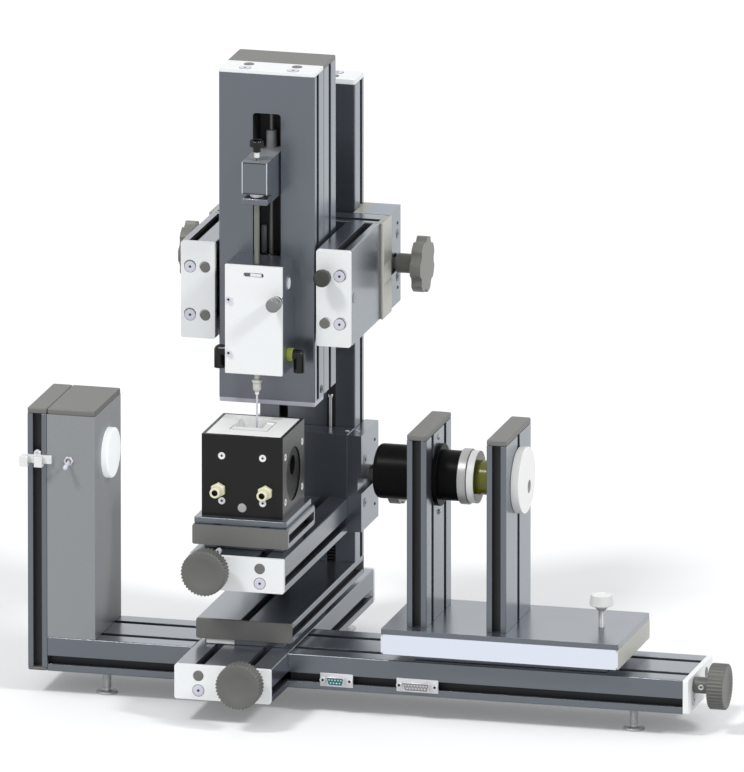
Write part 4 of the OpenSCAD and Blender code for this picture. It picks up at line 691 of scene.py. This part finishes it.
def cheek_screws(name, node, screw_y, hole_y):
    # Screws, and spring holes painted as small dark rings for their shade, in the left and right faces of a
    # pair of clamp cheeks
    screw_off, hole_off = 20.3, 30.3
    low, high = extent(node)
    middle = (low.z + high.z) / 2
    heads = []
    for x, out in ((high.x, 1), (low.x, -1)):
        for up in (-1, 1):
            heads += flush_screw(4.3, (x, screw_y, middle + up * screw_off), (out, 0, 0), grey_metal)
            # A spring hole is a small dark ring and socket, as painted shade in the hole
            heads += flush_screw(1.5, (x, hole_y, middle + up * hole_off), (out, 0, 0), dark_metal)
    fasten(name, heads, nodes[node]["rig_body"])


grey_metal = finish("grey metal", (0.30, 0.31, 0.34), 0.3, metal=0.3, tint=0.02)
dark_metal = finish("dark metal", (0.06, 0.06, 0.065), 0.25, metal=0.5, tint=0.02)
soften("sample_clamp_block", 0.8, slate_along_z)
soften("sample_clamp_cheeks", 1.0, slate_along_z)
cheek_screws("sample_cheek_screws", "sample_clamp_cheeks", 224.5, 259.8)
heads = flush_screw(2, (222.5, 224, 183), (0, 0, 1), screw_pale)
heads += flush_screw(2, (231, 230, 182.3), (0, 0, 1), screw_pale)
fasten("block_top_screws", heads, "sample_bracket")
tinned_steel = finish("tinned steel", (0.60, 0.60, 0.60), 0.3, metal=1.0)
rod = lathe("guide_rod", [(183.2, 1.4), (211, 1.4), (211, 2.3), (213.2, 2.3), (213.6, 2.0), (213.6, 1)],
            tinned_steel, 24)
fasten("guide_rod", [stand(rod, spot(right_slot, 236.4, 0))], "sample_bracket")
slotted("table_beam", slate_along_y, along_y, heavy_lip)
soften("table_beam_plate", plate_break, white_paint)
screwed_end("table_beam", "sample_bracket", (0, -1, 0),
            [(x, table_face.y, table_face.z + screw_in) for x in (left_slot, right_slot)],
            [(right_slot, table_face.y, table_face.z + bore_in)])
stop_screw = lathe("table_stop_screw", [(-5, 2.6), (0, 2.6), (0.25, 2.35), (0.1, 1.2)], pale_metal, 32)
stop_room = lathe("table_stop_room", [(-1, 1.1), (0.24, 1.1)], socket_shade, 6)
stop_parts = stand_all([stop_screw, stop_room], spot(163.2, -11, 125.7), (0, -1, 0))
fasten("table_stop", stop_parts, "sample_bracket")


# Table: a slide block in the beam's slots, a carriage of light profile with grey caps on its ends,
# and a slate plate on top that the chamber is screwed on.
cap_l = 3
soften("table_slide_block", 0.4, slate_along_y)
carriage_low, carriage_high = extent("table_carriage")
bar_front, bar_rear = carriage_low.y + cap_l, carriage_high.y - cap_l
bare_bar = ((carriage_low.x, bar_front, carriage_low.z), (carriage_high.x, bar_rear, carriage_high.z))
table_bar = slotted("table_carriage", slate_along_y, along_y, light_lip, [bare_bar])
repaint(table_bar, grey_moulding, lambda x, y, z: y < bar_front + 0.05 or y > bar_rear - 0.05)
soften("table_plate", 0.8, slate_along_x)


# Sample chamber: a black anodised cube with dished white screws in its faces, dark round windows, a
# white insert with a thin grey frame painted round its recess as the shade at its edge, cream hose
# fittings of moulded plastic with shade painted in their bores, and a grey plug.
chamber_black = finish("chamber black", (0.0085, 0.0085, 0.0078), 0.24, sheen=0.26)
window_black = finish("window black", (0.010, 0.010, 0.010), 0.2, sheen=0.04, tint=0.02)
insert_white = finish("insert white", (0.90, 0.90, 0.885), 0.4, tint=0.01)
white_screw = finish("white screw", (0.82, 0.82, 0.84), 0.35, tint=0.01)
soften("chamber_body", 0.6, chamber_black)
soften("chamber_windows", 0.2, window_black)
soften("chamber_insert", 0.4, insert_white)
front_off, side_off, screw_heights = 19.2, 29.4, (167.2, 209.4)
fitting_off, fitting_z, plug_z = 22, 177.6, 161.8
cube_low, cube_high = extent("chamber_body")
cube_x, cube_y = (cube_low.x + cube_high.x) / 2, (cube_low.y + cube_high.y) / 2
chamber_screws = []
for z in screw_heights:
    for side in (-1, 1):
        front_x, side_y = cube_x + side * front_off, cube_y + side * side_off
        places = [((front_x, cube_low.y, z), (0, -1, 0)), ((front_x, cube_high.y, z), (0, 1, 0)),
                  ((cube_high.x, side_y, z), (1, 0, 0)), ((cube_low.x, side_y, z), (-1, 0, 0))]
        for at, towards in places:
            chamber_screws += flush_screw(3.3, at, towards, white_screw)
fasten("chamber_screws", chamber_screws, "table")

cream = finish("cream plastic", (0.80, 0.77, 0.56), 0.35, tint=0.02)
# Painted shade: a near-black lining inside each fitting's bore stands for the shade in it
bore_shade = finish("painted bore shade", (0.03, 0.02, 0.012), 0.5)
plug_grey = finish("plug plastic", (0.46, 0.46, 0.45), 0.4, tint=0.02)
fittings = []
for x in (cube_x - fitting_off, cube_x + fitting_off):
    hexagon = lathe("fitting_hexagon", [(0, 6.5), (0.4, 6.9), (4.8, 6.9), (5.5, 6.1), (5.5, 5)], cream, 6)
    tube = lathe("fitting_tube", [(5, 4.9), (14.2, 4.9), (14.8, 4.6), (15, 4.2), (15, 3.3), (14.7, 2.9),
                                  (9, 2.75)], cream, 40)
    bore = lathe("fitting_bore", [(9, 2.8), (14.3, 2.8), (14.3, 2.7), (9.2, 2.6)], bore_shade, 40)
    fittings += stand_all([hexagon, tube, bore], spot(x, cube_low.y, fitting_z), (0, -1, 0))
plug = lathe("chamber_plug", [(-1, 4.1), (0.6, 4.1), (0.8, 3.9), (0.8, 1)], plug_grey, 32)
fittings.append(stand(plug, spot(cube_x, cube_low.y, plug_z), (0, -1, 0)))
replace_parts(fasten("chamber_fittings", fittings, "table"), "hose_fittings")

# Painted shade: a thin grey frame on the insert round its recess stands for the shade at the recess's edge
recess_shade = finish("painted recess shade", (0.42, 0.42, 0.42), 0.5, tint=0.02)
recess_shade_frame = block("recess_edge_shade", spot(161.6, 34.5, 228.7), spot(197.6, 68.5, 229.15), recess_shade, 0.1, 1)
cut(recess_shade_frame, block("recess_shade_room", spot(162.4, 35.3, 228), spot(196.8, 67.7, 230), recess_shade, 0.3))
cut(recess_shade_frame, block("recess_shade_mouth", spot(158, 50, 228), spot(189.5, 72, 230), recess_shade, 0.1, 1))
fasten("recess_edge_shade", [recess_shade_frame], "table")


# Dosing bracket: a crossbar and two arms of slotted profile under white and beige plates, with
# clamp cheeks that grip the column and flush screws in the outer faces.
heavy_thick = base_high.z
top_reflection = finish("painted top reflection", (0.40, 0.45, 0.52), 0.35, tint=0.02)
# Painted shade: a darker beige for the faces inside the covers' pockets
pocket_shade = finish("painted pocket shade", (0.36, 0.36, 0.31), 0.5, tint=0.02)
slotted("dosing_crossbar", slate_along_x, along_x, heavy_lip)
slotted("dosing_arms", slate_along_y, along_y, heavy_lip, side_by_side("dosing_arms", heavy_thick))
arm_plates = soften("bracket_plates", plate_break, white_paint)
arm_face, arm_end = extent("bracket_plates")[0].y, extent("dosing_arms")[1].y
repaint(arm_plates, beige, lambda x, y, z: y > arm_end - 0.1)
left_x, left_z, left_cap_x = 110.2, (318.8, 363.8), 124.5
right_x, right_z, right_cap_x = 250.3, (318.6, 363.6), 236.2
screwed_end("arm", "dosing_bracket", (0, -1, 0),
            [(left_x, arm_face, z) for z in left_z] + [(right_x, arm_face, z) for z in right_z],
            [(left_cap_x, arm_face, z) for z in left_z] + [(right_cap_x, arm_face, right_z[0])])


def side_screws(name, node, radius, y, z, made, socket=None):
    # One flush screw in a node's right face and one in its left face
    low, high = extent(node)
    heads = flush_screw(radius, (high.x, y, z), (1, 0, 0), made, socket)
    heads += flush_screw(radius, (low.x, y, z), (-1, 0, 0), made, socket)
    fasten(name, heads, nodes[node]["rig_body"])


side_screws("arm_side_screws", "dosing_arms", 4.7, 104.4, 340.8, grey_metal, grey_metal)
dosing_cheeks = soften("dosing_clamp_cheeks", 1.0, slate_along_z)
cheek_top = extent("dosing_clamp_cheeks")[1].z - 0.4
beige_left, beige_right = 125, 237
# Painted reflection: the cheeks' top faces outside the beige strip are painted pale blue-grey, as the bright
# room seen in the slate tops
repaint(dosing_cheeks, top_reflection, lambda x, y, z: z > cheek_top and not beige_left <= x <= beige_right)
repaint(dosing_cheeks, beige, lambda x, y, z: z > cheek_top and beige_left < x < beige_right)
cheek_screws("dosing_cheek_screws", "dosing_clamp_cheeks", 259.8, 259.8)
end_covers = []
for low_x, high_x, pocket_low, pocket_high in ((260.4, 263, 262.4, 266), (99, 101.6, 96, 99.6)):
    cover = block("crossbar_cover", spot(low_x, 198, 297), spot(high_x, 230, 387.6), beige, 0.8, 3)
    pocket = block("cover_pocket", spot(pocket_low, 203.5, 328.6), spot(pocket_high, 231, 347),
                   pocket_shade, 0.1, 1)
    end_covers.append(cut(cover, pocket))
fasten("crossbar_covers", end_covers, "dosing_bracket")


# Star knobs: moulded plastic knobs with round lobes, each on a dark threaded stud that draws the
# cheeks of a bracket together on the column.
star_grey = finish("star knob plastic", (0.215, 0.21, 0.19), 0.42, tint=0.03)
stud_y = 250
for node, x, out in (("star_knob_right", 258, 1), ("star_knob_left", 104, -1), ("sample_star_knob", 236, 1)):
    soften(node, 1.6, star_grey)
    low, high = extent(node)
    stud = lathe(node + "_stud", [(0, 4.9)] + thread(0.5, 4.6, 5.05, 1, 0.4) + [(4.7, 4.5)], dark_metal, 32)
    stand(stud, spot(x, stud_y, (low.z + high.z) / 2), (out, 0, 0))
    fasten(node + "_stud", [stud], nodes[node]["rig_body"])


# Arm knob: a glossy dark mushroom knob on a slim shank, fixed to the spindle in the arm's slot that
# draws the dosing unit along the arms.
knob_dark = finish("arm knob plastic", (0.04, 0.042, 0.035), 0.2, coat=0.2, sheen=0.3, tint=0.02)
arm_knob = [lathe("arm_grip", [(10.6, 4), (11, 7.2), (11.8, 7.9), (12.6, 8), (16.4, 8), (17.8, 7.5),
                               (18.5, 6.3), (18.7, 4.5), (18.7, 1)], knob_dark, 64),
            lathe("arm_shank", [(0, 3.6), (0.3, 4), (10.7, 4)], knob_dark, 40),
            lathe("arm_spindle", [(-102, 2.6), (-101.6, 3), (1, 3)], steel, 24)]
stand_all(arm_knob, spot(238, 90.2, 364.8), (0, -1, 0))
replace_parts(fasten("arm_knob_parts", arm_knob, "dosing_drive"), "arm_knob")


# Dosing unit: two slotted profiles back to back, the front one with a window for the syringe
# carriage. White and grey plates close the top, a lilac one the bottom, and a steel lead screw runs
# behind the window in a black bearing beside a stop.
slotted("dosing_front_profile", slate_along_z, along_z, heavy_lip)
slotted("dosing_rear_profile", slate_along_z, along_z, heavy_lip)
soften("dosing_runners", 0.4, slate_along_z)
front_low, front_high = extent("dosing_front_profile")
lilac_plate = finish("lilac plate", (0.50, 0.50, 0.58), 0.35, tint=0.02)
dosing_plates = soften("dosing_plates", 0.5, white_paint)
repaint(dosing_plates, lilac_plate, lambda x, y, z: z < front_low.z + 0.6)
repaint(dosing_plates, grey_moulding,
        lambda x, y, z: y > front_high.y + 0.1 and z > front_high.z - 1.6)
dosing_top = extent("dosing_plates")[1].z
screwed_end("dosing_top", "dosing_unit", (0, 0, 1),
            [(x, front_low.y + screw_in, dosing_top) for x in (left_slot, right_slot)],
            [(x, front_low.y + bore_in, dosing_top) for x in (left_slot, right_slot)])
side_screws("dosing_side_screws", "dosing_front_profile", 3.8, 118.6, 249.6, dark_metal)

lead_axis = spot(181, 113, 0)
screw_grey = finish("lead screw steel", (0.16, 0.16, 0.155), 0.35, metal=0.5, tint=0.03)
gloss_black = finish("gloss black", (0.005, 0.005, 0.005), 0.12, sheen=0.35, tint=0.02)
worm = lathe("lead_worm", [(359.5, 2.3)] + thread(360, 523.4, 2.5, 2, 0.3) + [(524, 2.2)], screw_grey, 24)
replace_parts(fasten("lead_worm", [stand(worm, lead_axis)], "feed_screw"), "lead_screw")
bearing = lathe("screw_bearing", [(373.4, 7.6), (375.4, 7.6), (375.9, 7.2), (375.9, 4), (375.5, 3.6),
                                  (373.4, 3.2)], gloss_black, 40)
stop = block("travel_stop", spot(169.6, 118.8, 373.4), spot(174.8, 122, 399.8), alloy, 0.8, 3)
fasten("window_fittings", [stand(bearing, lead_axis), stop], "dosing_unit")


# Syringe drive: a slate carriage with a light aluminium nut on top, which grips the plunger's collar
# between its body and a thin lip. Its top face is painted light, thin bright strips paint highlights on
# the side edges of its front, and dark strips paint shade along its top and bottom edges. The plunger
# is a plain rod under a black thumb cap.
barrel_axis = spot(181, 60.5, 0)
carriage_front, carriage_left, carriage_right, carriage_top, edge_w = 52, 169, 193, 474.4, 1.1
lip_low, lip_high, lip_rear, notch_r = 435, 441, 67.5, 3.2
edge_highlight = finish("painted edge highlight", (0.62, 0.64, 0.67), 0.2, metal=0.6, tint=0.02)
carriage = soften("syringe_carriage", 1.1, slate_along_z)
# The nut on top is light aluminium; the carriage's own top face takes the same light finish as painted light
# on the top
repaint(carriage, alloy, lambda x, y, z: z > carriage_top)
# Painted highlights: thin bright strips on the left and right edges of the carriage's front
edges = [block("carriage_highlight", spot(x, carriage_front - 0.08, 445.6),
               spot(x + edge_w, carriage_front + 1, 475.1), edge_highlight, 0.3)
         for x in (carriage_left, carriage_right - edge_w)]
# Painted shade: thin dark strips along the top and bottom edges of the carriage's front
edges += [block("carriage_shade", spot(carriage_left + 1.3, carriage_front - 0.05, z),
                spot(carriage_right - 1.3, carriage_front + 1, z + edge_w), painted_shade, 0.2)
          for z in (445.2, 473.6)]
fasten("carriage_highlights_and_shade", edges, "syringe_drive")
lip = block("carriage_lip", spot(carriage_left, carriage_front, lip_low),
            spot(carriage_right, lip_rear, lip_high), slate_along_z, 1.1, 3)
notch = lathe("lip_notch", [(lip_low - 1, notch_r), (lip_high + 1, notch_r)], slate_along_z, 32)
cut(lip, stand(notch, barrel_axis))
fasten("carriage_lip", [lip], "syringe_drive")
rod_metal = finish("plunger metal", (0.20, 0.205, 0.185), 0.25, metal=0.5, tint=0.02)
cap_r, cap_teeth = 6.4, 32
plunger = [lathe("plunger_rod", [(358, 2.3), (358.3, 2.5), (478, 2.5)], rod_metal, 32),
           lathe("plunger_collar", [(441.2, 5.6), (441.7, 6.2), (443, 6.3), (444.6, 6), (444.8, 3)],
                 pale_metal, 40),
           lathe("plunger_stub", [(474, 2.5), (483.2, 2.5)], white_screw, 32),
           lathe("plunger_cap", [(483, 3.2), (483.3, 3.5), (487.6, 3.5), (488.1, 5.9), (488.5, cap_r),
                                 (493.2, cap_r), (493.8, 5.9), (494, 5), (493.6, 4.6), (493.6, 1)],
                 gloss_black, 3 * cap_teeth)]
knurl(plunger[-1], 488.4, 493.3, cap_r, cap_teeth, 0.45)
stand_all(plunger, barrel_axis)
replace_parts(fasten("plunger_parts", plunger, "syringe_drive"), "plunger")


# Valve box: a slate block behind a white cover held by two proud socket screws, with a sight slot
# over the barrel, a turned latch, two black hose elbows on lime stubs, and a round inlet.
soften("valve_box", 0.5, slate_along_z)
cover_y, box_side = extent("dosing_plates")[0].y, extent("valve_box")[1].x
cover_screw_x, cover_heights, latch_x, latch_z = 157, (296, 346), 202.5, 347
stub_left, stub_right, stub_top, inlet_from = 206.6, 212, 320, 330
cover_screws = []
for z in cover_heights:
    head = lathe("cover_screw", [(0, 2.7), (2.7, 2.7), (3, 2.4), (3, 1.2), (1.6, 1)], screw_pale, 32)
    inner = lathe("cover_socket", [(2, 1.2), (2.95, 1.2)], socket_shade, 6)
    cover_screws += stand_all([head, inner], spot(cover_screw_x, cover_y, z), (0, -1, 0))
fasten("cover_screws", cover_screws, "dosing_unit")
glimpse = block("barrel_glimpse", spot(176.5, 53.6, 367.9), spot(187, 56.6, 371.1), white_screw, 0.5)
fasten("barrel_glimpse", [glimpse], "dosing_unit")
latch_grey = finish("latch plastic", (0.19, 0.195, 0.19), 0.2, coat=0.5, tint=0.03)
latch = [lathe("latch_washer", [(0.2, 4.8), (1, 5), (1.3, 4.6), (1.3, 2)], white_screw, 40),
         lathe("latch_shank", [(-15, 2.4), (-14.7, 2.5), (9, 2.5)], dark_metal, 32),
         lathe("latch_collar", [(4, 5), (4.4, 5.6), (8.6, 5.6), (9, 5.2)], gloss_black, 40),
         lathe("latch_ring", [(8.8, 5.9), (9.1, 6.2), (11, 6.2), (11.2, 6)], white_screw),
         lathe("latch_grip", [(11, 6), (11.3, 6.5), (18.6, 6.5), (19.5, 6.1), (20, 5.3), (20, 2)],
               latch_grey)]
stand_all(latch, spot(latch_x, cover_y, latch_z), (0, -1, 0))
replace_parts(fasten("latch_parts", latch, "latch"), "latch_knob")
lime = finish("lime plastic", (0.30, 0.36, 0.04), 0.25, coat=0.5, tint=0.04)
elbows = soften("hose_elbows", 0.3, gloss_black)
repaint(elbows, lime, lambda x, y, z: z < stub_top and stub_left < x < stub_right)
repaint(elbows, screw_pale, lambda x, y, z: z > inlet_from)
# The dark ring round the inlet's dish is painted shade in the gap round it
inlet = [lathe("inlet_dish", [(0.4, 5.4), (1, 5.4), (1.2, 5), (0.8, 3.6), (0.8, 1)], white_screw, 40),
         lathe("inlet_ring", [(0.3, 6.4), (0.75, 6.4), (0.75, 5)], socket_shade, 40)]
fasten("valve_inlet", stand_all(inlet, spot(box_side, 74, 358.6), (1, 0, 0)), "dosing_unit")


# Needle: a grey-beige moulded hub with a locking ring, a white collar and a thin bright tube that
# hangs under the valve box and dips into the chamber's well.
hub_beige = finish("hub plastic", (0.58, 0.58, 0.54), 0.35, tint=0.02)
tube_steel = finish("needle steel", (0.66, 0.67, 0.74), 0.25, metal=0.2, tint=0.01)
needle = [lathe("needle_neck", [(269, 2.4), (276.7, 2.4)], hub_beige, 32),
          lathe("needle_ring", [(267.7, 3.9), (268, 4.6), (268.6, 4.75), (269.8, 4.6), (270.6, 3.2)],
                hub_beige, 40),
          lathe("needle_hub", [(259.2, 2.2), (259.8, 2.9), (261.4, 3.6), (262.4, 3.75), (267.4, 3.75),
                               (268, 3.6)], hub_beige, 40),
          lathe("needle_collar", [(256.3, 1.6), (256.6, 1.85), (259.3, 1.85)], white_screw, 32),
          lathe("needle_tube", [(196, 0.6), (196.6, 0.95), (257, 0.95)], tube_steel, 24)]
stand_all(needle, barrel_axis)
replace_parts(fasten("needle_parts", needle, "dosing_unit"), "needle")
